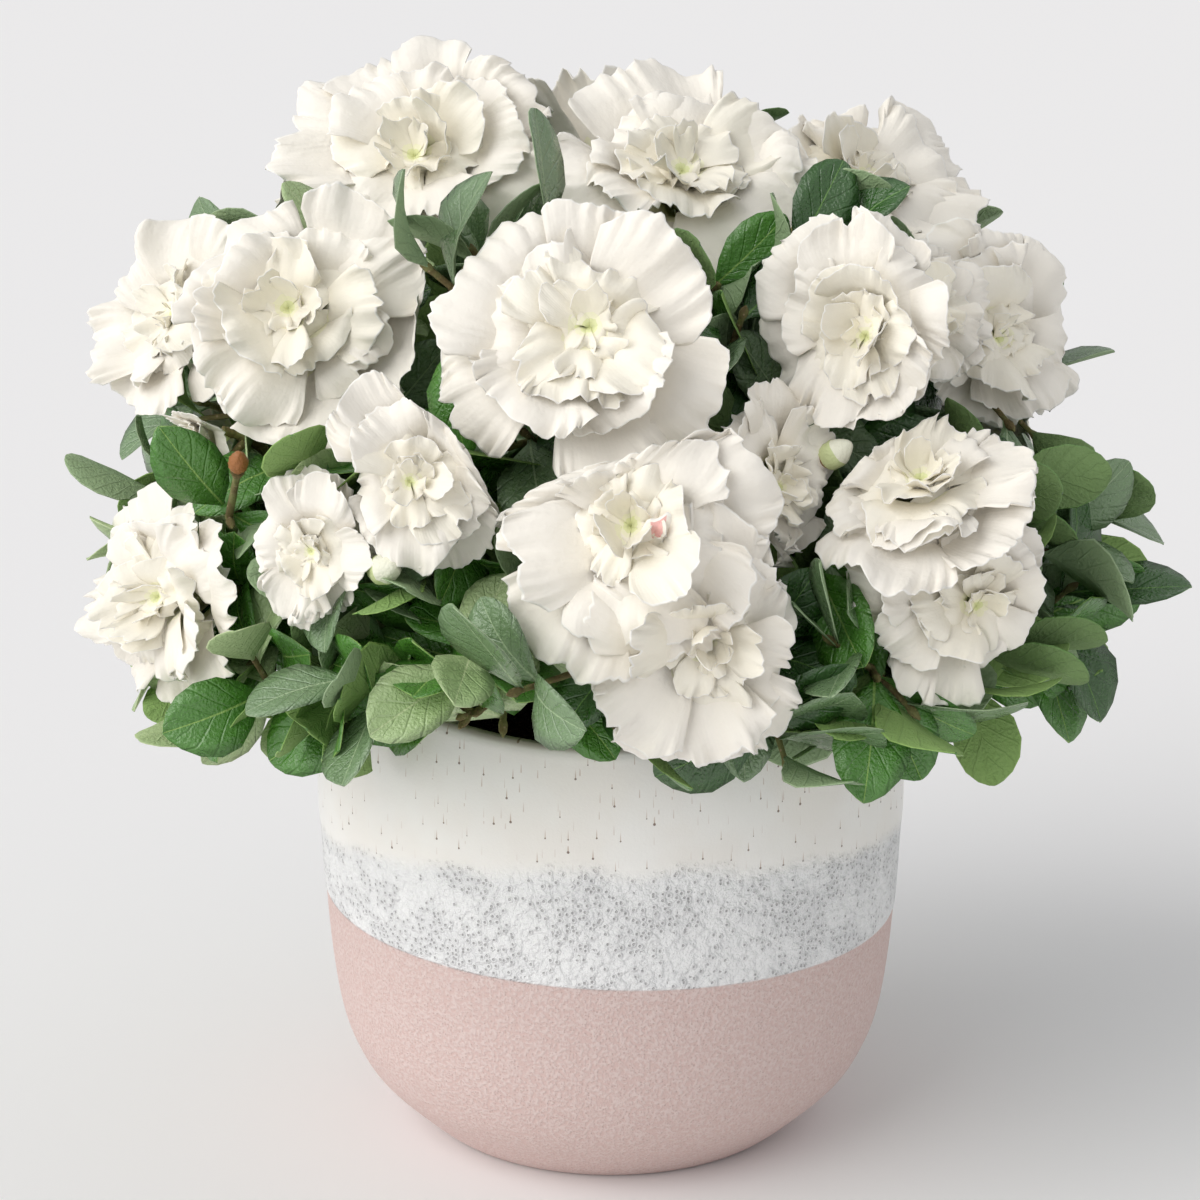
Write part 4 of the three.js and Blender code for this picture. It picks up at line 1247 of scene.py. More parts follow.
# Rows of a petal stand closer towards its margin; the power says how much.
ROW_POWER = 0.66
RUMPLE = 0.15
RUMPLE_FROM = 0.1
RUMPLE_SIZE = 0.42
RUMPLE_APART = 7.3
RUMPLE_WAYS = (0.6, 0.6, 1.0)
RUMPLE_FIELDS = np.array([(0.4, 0.2, 0.6), (31.7, 17.2, 8.3), (5.3, 40.7, 23.9)])
BLOOM_NARROWEST = 0.88
BLOOM_WIDTH_RANGE = 0.24
HEART_STRAY = 0.09
RING_LEAN = 0.2


def wave(u, draw, cycles):
    """A wandering wave over a petal's width, from -1 to 1."""
    phase, drift, second = draw() * FULL_TURN, 0.9 * (draw() - 0.5), draw() * FULL_TURN
    return 0.65 * np.sin(math.pi * cycles * (u + drift * u * u) + phase) + 0.35 * np.sin(
        math.pi * cycles * 1.6 * u + second
    )


def ruffle(u, draw, cycles):
    """A gathered margin over a petal's width, from -1 to 1: tight crisp folds here, slack ones there."""
    phase, second, third = (draw() * FULL_TURN for _ in range(3))
    slack = 0.5 + 0.5 * np.sin(math.pi * 1.5 * u + third)
    folds = np.sin(math.pi * cycles * (u + 0.14 * np.sin(math.pi * 1.7 * u + second)) + phase)
    crisp = np.arcsin(0.94 * folds) / 1.22
    return (0.2 + 0.8 * slack) * (0.78 * crisp + 0.22 * np.sin(math.pi * cycles * 1.8 * u + second))


def petal_stage(at):
    """The values of a petal that stands at, or between, stages."""
    low = min(int(at), len(PETAL_RINGS) - 2)
    return {
        key: mix(np.array(stages[low], dtype=float), np.array(stages[low + 1], dtype=float), at - low)
        for key, stages in PETAL_STAGES.items()
    }


# How single petals stray: the draw that leaves one as it is, how far a firm one strays, and how much
# further a loose one does.
STRAY = {
    "reach": (0.6, 0.32, 0.36),
    "tilt": (0.5, 0.14, 0.32),
    "curl": (0.6, 0.16, 0.3),
    "twist": (0.5, 0.2, 0.8),
    "cup": (0.4, 0.4, 1.4),
}
WIDE_BLOOM = 38
COLUMNS_BY_SIZE = 0.45
SPLIT_DEPTH = 0.1
SPLIT_ASIDE = 0.6
SPLIT_WIDE = 0.1
EDGE_DROP = 0.3
EDGE_POWER = 2.4
NIBBLE_DEPTH = 0.045
WAVER_DEPTH = 0.035
PETAL_NARROWEST = 0.82
PETAL_WIDTH_RANGE = 0.32
BLADE_RISES_FROM = 0.2
RUFFLES_FROM = 0.66
RUFFLE_POWER = 1.5
PETAL_TWIST = 0.12
FOOT_CUP = 0.2
CUP_OPENS = 0.42
BLADE_WAVES = 0.05
RUFFLE_UP = 0.066
RUFFLE_UP_LOOSE = 0.02
RUFFLE_OUT = 0.025
RUFFLE_ASIDE = 0.02
PETAL_BOW = (-3.0, 1.5)


def stray(kind, loose, draw):
    middle, firm, further = STRAY[kind]
    return (draw() - middle) * (firm + further * loose)


def petal_grid(radius, petal, turn, draw):
    """The upper side of one ruffled petal, in a bloom that faces +Z, in millimetres."""
    folds, loose = petal["folds"], petal["loose"]
    columns = petal["columns"] * mix(1, radius / WIDE_BLOOM, COLUMNS_BY_SIZE)
    u = np.linspace(-1, 1, max(4, round(columns)) + 1)[:, None]
    v = np.append(np.linspace(0, 1, PETAL_ROWS) ** ROW_POWER * MARGIN_FROM, 1.0)[None]
    reach = 1 + stray("reach", loose, draw)
    split = SPLIT_DEPTH * draw() * np.exp(-(((u - SPLIT_ASIDE * (draw() - 0.5)) / SPLIT_WIDE) ** 2))
    edge = 1 - EDGE_DROP * np.abs(u) ** EDGE_POWER - split
    nibbled = NIBBLE_DEPTH * np.abs(ruffle(u, draw, folds * 1.5))
    outline = v * (edge - nibbled - WAVER_DEPTH * wave(u, draw, 1.8))
    line = smooth_path(petal["path"], outline)
    wide = petal["wide"] * (PETAL_NARROWEST + PETAL_WIDTH_RANGE * draw())
    across = np.interp(outline, *zip(*PETAL_WIDTHS)) * wide
    grow_out = smooth_step(outline, BLADE_RISES_FROM, 1.0)
    margin = smooth_step(v, RUFFLES_FROM, 1.0) ** RUFFLE_POWER + 0 * u
    tilt = stray("tilt", loose, draw)
    curl = stray("curl", loose, draw)
    twist = PETAL_TWIST + stray("twist", loose, draw)
    cup = stray("cup", loose, draw)
    out = line[..., 0] * (1 + (reach - 1) * grow_out)
    side = u * across
    up = line[..., 1] + tilt * grow_out * outline + curl * grow_out**3
    up = up + twist * side + (FOOT_CUP - (CUP_OPENS - cup) * grow_out) * side**2
    up += BLADE_WAVES * grow_out * wave(u, draw, 1.1) + BLADE_WAVES * grow_out**2 * wave(u, draw, 1.9)
    up += (RUFFLE_UP + RUFFLE_UP_LOOSE * loose) * margin * ruffle(u, draw, folds)
    out = out + RUFFLE_OUT * margin * ruffle(u, draw, folds * 0.8)
    out += loose**2 * mix(*PETAL_BOW, draw()) * side**2
    side = side + RUFFLE_ASIDE * margin * ruffle(u, draw, folds * 0.9)
    c, s = math.cos(turn), math.sin(turn)
    return np.stack([out * c - side * s, out * s + side * c, up], axis=-1) * radius


def rumpled(grid, radius, number):
    """The whole bloom bends by one soft field, so that its petals fold together and stay in layers."""
    flat = grid.reshape(-1, 3)
    moved = flat.copy()
    spread = smooth_step(np.hypot(flat[:, 0], flat[:, 1]), RUMPLE_FROM * radius, radius)
    for index, point in enumerate(flat):
        place = point / (RUMPLE_SIZE * radius) + vec((number * RUMPLE_APART, 0, 0))
        bend = np.array([noise.noise(place + field) for field in RUMPLE_FIELDS])
        moved[index] += bend * (RUMPLE * radius * spread[index]) * RUMPLE_WAYS
    return moved.reshape(grid.shape)


def shell_of(grid):
    """Closed thin shell under a grid of points: vertices, faces, and each face's row share."""
    columns, rows = grid.shape[0] - 1, grid.shape[1] - 1
    along_u = np.gradient(grid, axis=0)
    along_v = np.gradient(grid, axis=1)
    normal = np.cross(along_v, along_u)
    normal /= np.maximum(np.linalg.norm(normal, axis=-1, keepdims=True), 1e-9)
    thick = np.full(grid.shape[:2], PETAL_THICK)
    thick[0], thick[-1], thick[:, -1] = PETAL_EDGE, PETAL_EDGE, PETAL_EDGE
    under = grid - normal * thick[..., None]
    verts = np.concatenate([grid.reshape(-1, 3), under.reshape(-1, 3)])
    i, j = np.meshgrid(np.arange(columns), np.arange(rows), indexing="ij")
    a = (i * (rows + 1) + j).ravel()
    b, d = a + rows + 1, a + 1
    c = b + 1
    lower = len(verts) // 2
    top = np.stack([a, d, c, b], axis=1)
    bottom = np.stack([a, b, c, d], axis=1) + lower
    row_shares = np.append((np.arange(rows - 1) + 0.5) / (rows - 1) * MARGIN_FROM, 1.0) ** ROW_POWER
    shares = np.tile(row_shares[j.ravel()], 2)
    rim = [k * (rows + 1) for k in range(columns + 1)]
    rim += [columns * (rows + 1) + k for k in range(1, rows + 1)]
    rim += [k * (rows + 1) + rows for k in range(columns - 1, -1, -1)]
    rim += list(range(rows - 1, 0, -1))
    rim = np.array(rim)
    after = np.roll(rim, -1)
    wall = np.stack([rim, after, after + lower, rim + lower], axis=1)
    wall_shares = row_shares[np.minimum(rim % (rows + 1), rows - 1)]
    return verts, np.concatenate([top, bottom, wall]), np.concatenate([shares, wall_shares])


def pressed(row, points, facing):
    """Petals that reach past the mass's own space are pressed back and turned up against its wall."""
    shape = points.shape
    flat = points.reshape(-1, 3)
    depth, rest = depths_from(row, flat)
    near = rest[depth.argmin(axis=1)]
    short = np.clip(WALL_GAP - depth.min(axis=1), 0, MOST_PRESSED)[:, None]
    inward = (MIDDLES[row] - MIDDLES[near]) / APART[row, near][:, None]
    return (flat + inward * short * PRESSED_IN + facing * short * TURNED_UP).reshape(shape)


WALL_GAP = 1.0
MOST_PRESSED = 60
PRESSED_IN = 0.7
TURNED_UP = 0.25
BLOOM_COLOURS = {
    "white": srgb(250, 245, 235),
    "cream": srgb(250, 245, 231),
    "pale_throat": srgb(250, 248, 222),
    "green_throat": srgb(238, 242, 194),
    # The margin is whiter than the blade: painted brightness that stands in for light shining through the
    # thin petal edges.
    "margin": srgb(253, 250, 243),
    "pink_fleck": srgb(244, 192, 186),
}
CREAM_STAGE = 1.6
GREEN_THROAT_TO = 0.3
PALE_THROAT_TO = 0.45
FLECK_PLACE = (10.8, -118.5, 201.0)
FLECK_REACH = 1.9
BLOSSOM_PIECES = 4


def petal_material(name, colour):
    """Petal skin: a plain near-white, soft, with fine lines that run up the petal."""
    material, w, shader = new_material(name, colour, 0.6, Specular_IOR_Level=0.3)
    petal = w.first("ShaderNodeUVMap", uv_map="petal")
    lines = w.group(PETAL_LINES, Place=petal, Lines=90.0)
    place = object_place(w)
    uneven_gloss(w, shader, place, 300.0, 0.6)
    soft = grain(w, place, 420.0, 0.2, 0.8, 2.0)
    add_bump(w, shader, w.plus(w.times(lines, 0.3), soft), 0.22, 0.0005)
    return material


def petal_uvs(columns, rows):
    i, j = np.meshgrid(np.arange(columns + 1), np.arange(rows + 1), indexing="ij")
    flat = np.stack([i.ravel() / columns, j.ravel() / rows], axis=1)
    return np.concatenate([flat, flat])


def petal_number(colour):
    return list(BLOOM_COLOURS).index(colour)


def petal_kinds(stage, shares):
    """The colour number of each face of a petal: throat at its foot, then its blade, then its margin, whiter
    as a painted brightness of light shining through the thin edge.
    """
    blade = "cream" if stage > CREAM_STAGE else "white"
    kinds = np.where(shares < PALE_THROAT_TO, petal_number("pale_throat"), petal_number(blade))
    kinds = np.where(shares < GREEN_THROAT_TO, petal_number("green_throat"), kinds)
    return np.where(shares > MARGIN_FROM, petal_number("margin"), kinds)


def bloom_petals(row, number, bloom, draw):
    """Every petal of one bloom, as shells in place with the colour number of each face."""
    at, across, turn, lift = bloom
    facing = facing_of(turn, lift)
    axes = leaf_axes(facing, UP)
    radius = across / 2
    start = draw() * FULL_TURN
    squash = np.array([*(BLOOM_NARROWEST + BLOOM_WIDTH_RANGE * draw() for _ in range(2)), 1.0])
    heart = HEART_STRAY * np.array([draw() - 0.5, draw() - 0.5, 0.0]) * radius
    lean = RING_LEAN * np.array([draw() - 0.5, draw() - 0.5])
    for ring, k in [(ring, k) for ring, count in enumerate(PETAL_RINGS) for k in range(count)]:
        stage = min(len(PETAL_RINGS) - 1, max(0.0, ring + RING_STRAY[ring] * (draw() - 0.45)))
        spot = start + ring * RING_TURN + (k + 0.5 * (draw() - 0.5)) * FULL_TURN / PETAL_RINGS[ring]
        grid = petal_grid(radius, petal_stage(stage), spot, draw) * squash + heart * stage
        grid[..., 2] += (grid[..., :2] @ lean) * stage
        grid = pressed(row, vec(at) + rumpled(grid, radius, number) @ axes, facing)
        verts, faces, shares = shell_of(grid)
        yield verts, faces, petal_kinds(stage, shares), petal_uvs(grid.shape[0] - 1, grid.shape[1] - 1)


def make_blooms():
    """All petals, dealt bloom by bloom to a few pieces."""
    materials = [petal_material(f"petal_{key}", colour) for key, colour in BLOOM_COLOURS.items()]
    batches = [[] for _ in range(BLOSSOM_PIECES)]
    number = 0
    for row, mass in enumerate(MASSES):
        for i, bloom in enumerate(mass["blooms"]):
            draw = draws_for(PETAL_DRAWS + 10 * row + i)
            batches[number % BLOSSOM_PIECES] += bloom_petals(row, number, bloom, draw)
            number += 1
    pieces = []
    for index, batch in enumerate(batches):
        bases = np.cumsum([0] + [len(part[0]) for part in batch])
        verts = np.concatenate([part[0] for part in batch])
        faces = np.concatenate([part[1] + base for part, base in zip(batch, bases)])
        piece = link_mesh(f"blossom_{index}", verts, faces.tolist())
        for material in materials:
            piece.data.materials.append(material)
        kinds = np.concatenate([part[2] for part in batch]).astype(np.int32)
        middles = verts[faces].mean(axis=1)
        near_fleck = np.linalg.norm(middles - FLECK_PLACE, axis=1) < FLECK_REACH
        kinds[near_fleck] = petal_number("pink_fleck")
        piece.data.polygons.foreach_set("material_index", kinds)
        uvs = np.concatenate([part[3] for part in batch])
        layer = piece.data.uv_layers.new(name="petal")
        layer.data.foreach_set("uv", uvs[faces.ravel()].astype(np.float32).ravel())
        pieces.append(piece)
    return pieces


# Swollen buds
BUD_PROFILE = (
    (0, 0), (0.1, 0.02), (0.27, 0.14), (0.36, 0.34), (0.35, 0.55), (0.26, 0.76), (0.12, 0.93), (0, 1),
)
BUD_ROWS = 15
BUD_TWIST = 2.2
BUD_FOOT_TO = 0.16
BUD_MIDDLE_TO = 0.5
BUD_AROUND = 20
BUD_WRAPS = 5
BUD_KINDS = {
    "flower": ("bud_scale", "bud_green", "bud_white"),
    "scaly": ("bud_scale", "bud_brown", "bud_brown"),
}
BUD_COLOURS = {
    "bud_scale": srgb(140, 112, 66),
    "bud_green": srgb(206, 216, 160),
    "bud_white": srgb(240, 240, 220),
    "bud_brown": srgb(160, 104, 56),
}


def bud_shape(tip, along, length):
    """One bud wrapped in overlapping petals: its vertices, faces, and each face's share of its height."""
    rows = turned_rows(smooth_path(BUD_PROFILE, np.linspace(0, 1, BUD_ROWS)), 1.0)
    rows[0, 0], rows[-1, 0] = 0.0, 0.0

    def wrapped(points):
        turn = np.arctan2(points[..., 1], points[..., 0]) + BUD_TWIST * points[..., 2]
        lap = (turn * BUD_WRAPS / FULL_TURN) % 1.0
        points = points.copy()
        points[..., :2] *= (0.93 + 0.13 * lap)[..., None]
        return points

    verts, faces = turned_mesh(rows, BUD_AROUND, wrapped)
    heights = [float(np.mean([verts[i][2] for i in face])) for face in faces]
    return tip + np.array(verts) @ leaf_axes(along, UP) * length, faces, heights


def make_buds():
    names = list(BUD_COLOURS)
    verts, faces, kinds = [], [], []
    for tip, along, length, kind in buds:
        points, own_faces, heights = bud_shape(tip, along, length)
        faces += [tuple(i + len(verts) for i in face) for face in own_faces]
        verts += list(points)
        for high in heights:
            third = int(high >= BUD_FOOT_TO) + int(high >= BUD_MIDDLE_TO)
            kinds.append(names.index(BUD_KINDS[kind][third]))
    piece = link_mesh("buds", verts, faces)
    for name, colour in BUD_COLOURS.items():
        material, w, shader = new_material(name, colour, 0.55)
        place = object_place(w)
        uneven_gloss(w, shader, place, 500.0, 0.55)
        add_bump(w, shader, grain(w, place, 1200.0, 0.3, 0.7), 0.4, 0.0004)
        piece.data.materials.append(material)
    piece.data.polygons.foreach_set("material_index", kinds)
    return piece


# Pot and soil
POT_AROUND = 360
POT_OUTLINE_POINTS = 60
INSIDE_HEIGHTS = (112, 68, 35, 16)
FLOOR_CORNER = 50
POT_LIP = [
    (78.2, 131.0), (77.5, 131.7), (76.9, 132.0), (76.2, 132.0), (75.0, 131.6), (73.9, 130.4), (73.7, 129),
]
POT_STEP = 1.1
POT_HIDDEN_STEP = 4.0
POT_FOOT = (46.0, 0.0)
PIT_SPACING = 3.2
PIT_REACH = 0.42
PIT_DEPTH = 0.55
OUTER_SKIN = 2
CRUST_PATCH = 13.0
BAND_TOP = 99.0
BAND_TOP_BOW = 11.0
GLAZE_THICK = 0.35
CLAY_LINE = 66.4
CLAY_LINE_SLOPE = -0.034


def turned_rows(profile, step):
    """Rows of a turned outline, with rows added so that none is further apart than step."""
    rows = [profile[0]]
    for (r0, z0), (r1, z1) in zip(profile, profile[1:]):
        parts = max(1, int(math.ceil(math.hypot(r1 - r0, z1 - z0) / step)))
        rows += [(mix(r0, r1, k / parts), mix(z0, z1, k / parts)) for k in range(1, parts + 1)]
    return np.array(rows)


def turned_mesh(rows, around, shift):
    """Closed turned surface from a first row on the axis to a last one on it, moved by shift."""
    angles = np.arange(around) * FULL_TURN / around
    inner = rows[1:-1]
    points = np.stack(
        [
            inner[:, None, 0] * np.cos(angles)[None],
            inner[:, None, 0] * np.sin(angles)[None],
            np.repeat(inner[:, 1:2], around, axis=1),
        ],
        axis=-1,
    )
    points = shift(points)
    low, high = points[0].mean(axis=0), points[-1].mean(axis=0)
    verts = np.concatenate([points.reshape(-1, 3), [low, high]])
    faces = []
    top_row = (len(inner) - 1) * around
    sides = [(k, (k + 1) % around) for k in range(around)]
    for row in range(0, top_row, around):
        faces += [(row + k, row + n, row + around + n, row + around + k) for k, n in sides]
    first, last = top_row + around, top_row + around + 1
    for k, n in sides:
        faces += [(first, n, k), (last, top_row + k, top_row + n)]
    return verts, faces


def pot_radius(height):
    """The radius of the pot's outside at a height, before its glaze and its rim's sweep."""
    radii, heights = zip(*POT_OUTSIDE)
    return np.interp(height, heights, radii)


def inside_wall():
    """The pot's inner outline from the lip down to the middle of its floor."""
    wall = [(pot_radius(z) - POT_WALL, z) for z in INSIDE_HEIGHTS]
    return [*wall, (FLOOR_CORNER, POT_FLOOR), (0, POT_FLOOR)]


def hollows(points, spacing, reach):
    """How deep the round hollows of the bubbly glaze are at each point, 0 to 1."""
    flat = points.reshape(-1, 3) / spacing
    depth = np.zeros(len(flat))
    for index, point in enumerate(flat):
        distances, _ = noise.voronoi(point)
        depth[index] = max(0.0, 1 - distances[0] / reach)
    return depth.reshape(points.shape[:-1])


def pot_relief(points):
    """Glaze steps, the pits of the bubbly band and the swept rim, laid on the turned outline."""
    radius = np.hypot(points[..., 0], points[..., 1])
    height = points[..., 2]
    outer = radius > pot_radius(height) - OUTER_SKIN
    band_top = BAND_TOP - BAND_TOP_BOW * (points[..., 0] / POT_BELLY_RADIUS) ** 2
    line = CLAY_LINE + CLAY_LINE_SLOPE * points[..., 0]
    band = smooth_step(height, line, line + 1) * (1 - smooth_step(height, band_top - 3, band_top + 3))
    pits = np.zeros(height.shape)
    chosen = (band > 0.01) & outer
    pits[chosen] = hollows(points[chosen], PIT_SPACING, PIT_REACH) * crusted(points[chosen])
    step = smooth_step(height, line - 0.4, line + 0.4) + smooth_step(height, band_top - 4, band_top + 4)
    out = np.where(outer, GLAZE_THICK * step - PIT_DEPTH * pits * band, 0.0)
    outward = points[..., :2] / np.maximum(radius, 1e-6)[..., None]
    moved = points.copy()
    moved[..., :2] += outward * out[..., None]
    moved[..., 2] += rim_sweep(points[..., 0], points[..., 1], height)
    return moved


def crusted(points):
    """Where the band is bubbly rather than smooth, 0 to 1, in patches."""
    patches = np.array([noise.noise(point / CRUST_PATCH) for point in points.reshape(-1, 3)])
    return smooth_step(patches, -0.25, 0.1).reshape(points.shape[:-1])


def make_pot():
    smooth_outside = smooth_path(POT_OUTSIDE, np.linspace(0, 1, POT_OUTLINE_POINTS))
    underside = turned_rows([(0, 0), POT_FOOT], POT_HIDDEN_STEP)
    outside = turned_rows([POT_FOOT, *[tuple(point) for point in smooth_outside], *POT_LIP], POT_STEP)
    inside = turned_rows([POT_LIP[-1], *inside_wall()], POT_HIDDEN_STEP)
    rows = np.concatenate([underside, outside[1:], inside[1:]])
    verts, faces = turned_mesh(rows, POT_AROUND, pot_relief)
    piece = link_mesh("stoneware_pot", verts, faces)
    piece.data.materials.append(pot_material())
    return piece


CLAY = srgb(216, 189, 183)
CLAY_PALE = srgb(224, 204, 199)
CLAY_SPECK = srgb(186, 158, 151)
BAND_WHITE = srgb(246, 246, 246)
BAND_GREY = srgb(232, 232, 233)
BAND_PIT = srgb(150, 146, 147)
GLAZE = srgb(250, 248, 244)
GLAZE_WARM = srgb(246, 241, 234)
SPECK_BROWN = srgb(112, 88, 72)
DASH_RUST = srgb(170, 128, 98)
RIM_BROWN = srgb(168, 148, 130)


def flat_cells(w, unwrapped, scale):
    """Cells over the pot's unwrapped side."""
    values = {"Vector": unwrapped, "Scale": scale}
    return w.add("ShaderNodeTexVoronoi", values, voronoi_dimensions="2D").outputs


def specks(w, unwrapped, scale, size, tail, share):
    """Glaze specks, each with a streak above it, in metres: the masks of the specks and of the streaks."""
    cells = flat_cells(w, unwrapped, scale)
    apart = w.first("ShaderNodeVectorMath", {0: unwrapped, 1: cells["Position"]}, operation="SUBTRACT")
    aside, above, _ = w.parts(apart)
    pick, other, _ = w.parts(cells["Color"])
    chosen = w.math("LESS_THAN", pick, share)
    width = w.times(w.plus(other, 0.5), size)
    across = w.math("ABSOLUTE", aside)
    distance = w.math("SQRT", w.plus(w.math("POWER", across, 2.0), w.times(above, above)))
    spot = w.times(w.ramp(distance, width, w.times(width, 0.6)), chosen)
    rising = w.times(w.ramp(above, 0.0, size), w.ramp(above, tail, size))
    streak = w.times(w.ramp(across, w.times(width, 0.6), 0.0), rising)
    return spot, w.times(streak, chosen)


def laid_over(w, tint, *layers):
    """A colour with others laid over it, each where its mask says and as strongly as its number says."""
    for mask, strength, colour in layers:
        tint = w.blend(w.times(mask, strength), tint, colour)
    return tint


def pot_material():
    """Three skins of stoneware: bare pink clay, a bubbly grey-white band and a glossy cream glaze."""
    material, w, shader = new_material("stoneware", GLAZE, 0.5)
    place = object_place(w)
    x, y, z = w.parts(place)
    broad = grain(w, place, 38.0, 0.35, 0.65)
    sand = grain(w, place, 1100.0, 0.35, 0.65)
    crust = grain(w, place, 75.0, 0.42, 0.56, 4.0)
    around = w.times(w.math("ARCTAN2", x, w.times(y, -1.0)), POT_BELLY_RADIUS * MM)
    unwrapped = w.first("ShaderNodeCombineXYZ", {0: around, 1: z})
    craters = flat_cells(w, unwrapped, 560.0)
    opened = w.math("LESS_THAN", w.parts(craters["Color"])[0], w.ramp(crust, 0.0, 1.0, 0.15, 0.8))
    holes = w.times(w.ramp(craters["Distance"], 0.26, 0.1), opened)
    brims = w.times(w.ramp(craters["Distance"], 0.6, 0.3), opened)

    line = w.plus(w.times(x, CLAY_LINE_SLOPE), CLAY_LINE * MM)
    above_clay = w.ramp(w.minus(z, line), -0.0004, 0.0004)
    bow = w.times(w.times(x, x), -BAND_TOP_BOW / (POT_BELLY_RADIUS**2 * MM))
    soft_line = w.plus(w.plus(bow, (BAND_TOP - 1.5) * MM), w.times(broad, 0.003))
    above_band = w.ramp(w.minus(z, soft_line), -0.003, 0.003)

    specked = dots(w, place, 1300.0, 0.4, 0.3)
    clay = laid_over(w, CLAY, (sand, 1.0, CLAY_PALE), (specked, 0.5, CLAY_SPECK))
    band = laid_over(w, BAND_WHITE, (crust, 0.6, BAND_GREY), (holes, 0.55, BAND_PIT))

    near_rim = w.ramp(z, 0.1, 0.128, 0.4, 1.0)
    spot, streak = specks(w, unwrapped, 142.0, 0.00032, 0.003, 0.72)
    _, fine_streak = specks(w, unwrapped, 200.0, 0.00028, 0.0036, 0.5)
    across = w.math("SQRT", w.plus(w.times(x, x), w.times(y, y)))
    aside = w.math("DIVIDE", x, w.plus(across, 1e-6))
    swept = w.times(w.times(aside, aside), RIM_SWEEP * MM)
    rim = w.ramp(w.minus(w.minus(z, swept), 0.1312), -0.0008, 0.0004)
    glaze = laid_over(
        w,
        GLAZE,
        (broad, 0.7, GLAZE_WARM),
        (w.times(fine_streak, near_rim), 0.6, DASH_RUST),
        (streak, 0.75, DASH_RUST),
        (spot, 0.9, SPECK_BROWN),
        (rim, 0.45, RIM_BROWN),
    )

    tint = w.blend(above_clay, clay, w.blend(above_band, band, glaze))
    w.join(tint, shader.inputs["Base Color"])
    shine = w.minus(0.86, w.times(above_clay, 0.28))
    w.join(w.minus(shine, w.times(above_band, 0.3)), shader.inputs["Roughness"])
    grit = w.times(sand, w.minus(0.5, w.times(above_band, 0.45)))
    banded = w.minus(above_clay, above_band)
    dents = w.minus(w.times(brims, 1.3), w.times(holes, 3.4))
    lumps = w.times(grain(w, place, 430.0, 0.3, 0.7), 2.4)
    bubbly = w.times(w.plus(dents, lumps), banded)
    add_bump(w, shader, w.plus(grit, bubbly), 0.6, 0.0005)
    return material


COMPOST_BASE = srgb(62, 46, 36)
COMPOST_DARK = srgb(50, 36, 28)
COMPOST_PALE = srgb(92, 70, 52)
SOIL_GAP = 1.2
SOIL_HEIGHTS = (16, 35, 68, 100)
SOIL_FOOT = [(0, 9.6), (49, 9.6)]
SOIL_DOME = [(72, 112), (66, 115), (40, 117), (14, 118), (0, 118)]
SOIL_STEP = 3.0
SOIL_AROUND = 120
CRUMBS_ABOVE = 108


def crumbled(points):
    """The top of the compost in lumps and crumbs."""
    flat = points.reshape(-1, 3).copy()
    for index, point in enumerate(flat):
        if point[2] > CRUMBS_ABOVE:
            flat[index, 2] += 1.6 * noise.noise(point / 6) + 1.0 * noise.noise(point / 2.4) - 0.6
    return flat.reshape(points.shape)


def make_soil():
    wall = [(pot_radius(z) - POT_WALL - SOIL_GAP, z) for z in SOIL_HEIGHTS]
    rows = turned_rows([*SOIL_FOOT, *wall, *SOIL_DOME], SOIL_STEP)
    piece = link_mesh("compost", *turned_mesh(rows, SOIL_AROUND, crumbled))
    material, w, shader = new_material("compost", COMPOST_BASE, 1.0)
    crumbs = grain(w, object_place(w), 600.0, 0.4, 0.7, 4.0)
    w.join(w.blend(crumbs, COMPOST_DARK, COMPOST_PALE), shader.inputs["Base Color"])
    add_bump(w, shader, crumbs, 0.9, 0.002)
    piece.data.materials.append(material)
    return piece


def own(piece, slot_name, *nodes):
    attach(piece, "root")
    if nodes:
        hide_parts(*nodes)


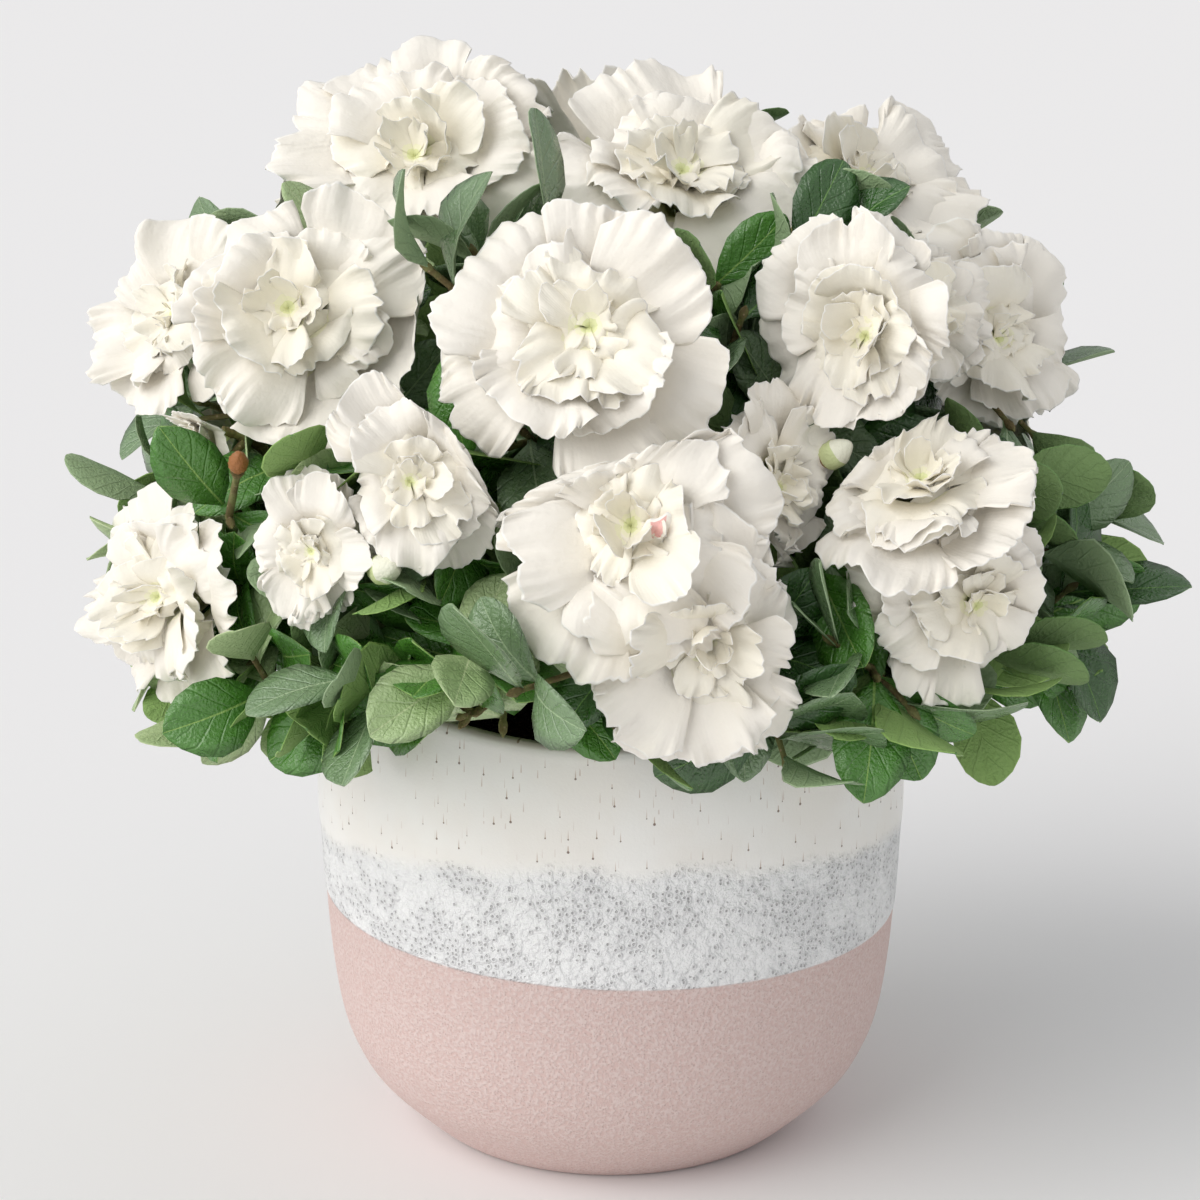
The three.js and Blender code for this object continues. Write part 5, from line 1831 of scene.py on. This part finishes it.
foliage_nodes = [f"foliage_{mass['name']}" for mass in MASSES]
leaf_pieces = make_leaves()
for leaf_piece in leaf_pieces:
    own(leaf_piece, "foliage")
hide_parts(*foliage_nodes)
for blossom in make_blooms():
    own(blossom, "foliage")
own(make_buds(), "foliage")
bark_piece, twig_piece = make_wood()
own(bark_piece, "bark", "trunk", *[f"bough_{mass['name']}" for mass in MASSES])
own(twig_piece, "bark")
own(make_pot(), "stoneware", "pot")
own(make_soil(), "compost", "root_ball")


# Floor, light and camera
FLOOR_COLOUR = srgb(245, 244, 244)
FLOOR_RADIUS = 9.0
FLOOR_SIDES = 64
ROOM_COLOUR = (0.97, 0.98, 1.0, 1.0)
ROOM_STRENGTH = 0.53
# Which way each sun shines, its strength, its spread in degrees and its colour.
SUNS = {
    "window": ((0.72, 0.42, -0.55), 2.0, 62.0, (1.0, 0.985, 0.965)),
    "back_light": ((-0.45, -0.6, -0.66), 0.2, 60.0, (1.0, 1.0, 1.0)),
}
CAMERA_PLACE = (-0.003, -0.9582, 0.4342)
CAMERA_AIM = (-0.003, 0.0, 0.148)
CAMERA_SENSOR = 36.0
CAMERA_LENS = 110.1


def aimed(way):
    return Vector(way).to_track_quat("-Z", "Y").to_euler()


def make_floor():
    bm = bmesh.new()
    bmesh.ops.create_circle(bm, cap_ends=True, segments=FLOOR_SIDES, radius=FLOOR_RADIUS)
    mesh = bpy.data.meshes.new("floor")
    bm.to_mesh(mesh)
    bm.free()
    floor = link_object("floor", mesh)
    floor.data.materials.append(new_material("pale_floor", FLOOR_COLOUR, 1.0, Specular_IOR_Level=0.0)[0])


def make_suns():
    for name, (shines, strength, spread, colour) in SUNS.items():
        data = bpy.data.lights.new(name, "SUN")
        data.energy, data.angle, data.color = strength, math.radians(spread), colour
        link_object(name, data).rotation_euler = aimed(shines)


def make_room():
    world = bpy.data.worlds.new("studio")
    world.use_nodes = True
    background = world.node_tree.nodes["Background"]
    background.inputs[0].default_value = ROOM_COLOUR
    background.inputs[1].default_value = ROOM_STRENGTH
    bpy.context.scene.world = world
    bpy.context.scene.view_settings.view_transform = "Standard"


def make_camera():
    data = bpy.data.cameras.new("camera")
    data.sensor_width = CAMERA_SENSOR
    data.lens = CAMERA_LENS
    camera = link_object("camera", data)
    camera.location = CAMERA_PLACE
    camera.rotation_euler = aimed(Vector(CAMERA_AIM) - Vector(CAMERA_PLACE))
    bpy.context.scene.camera = camera


make_floor()
make_room()
make_suns()
make_camera()
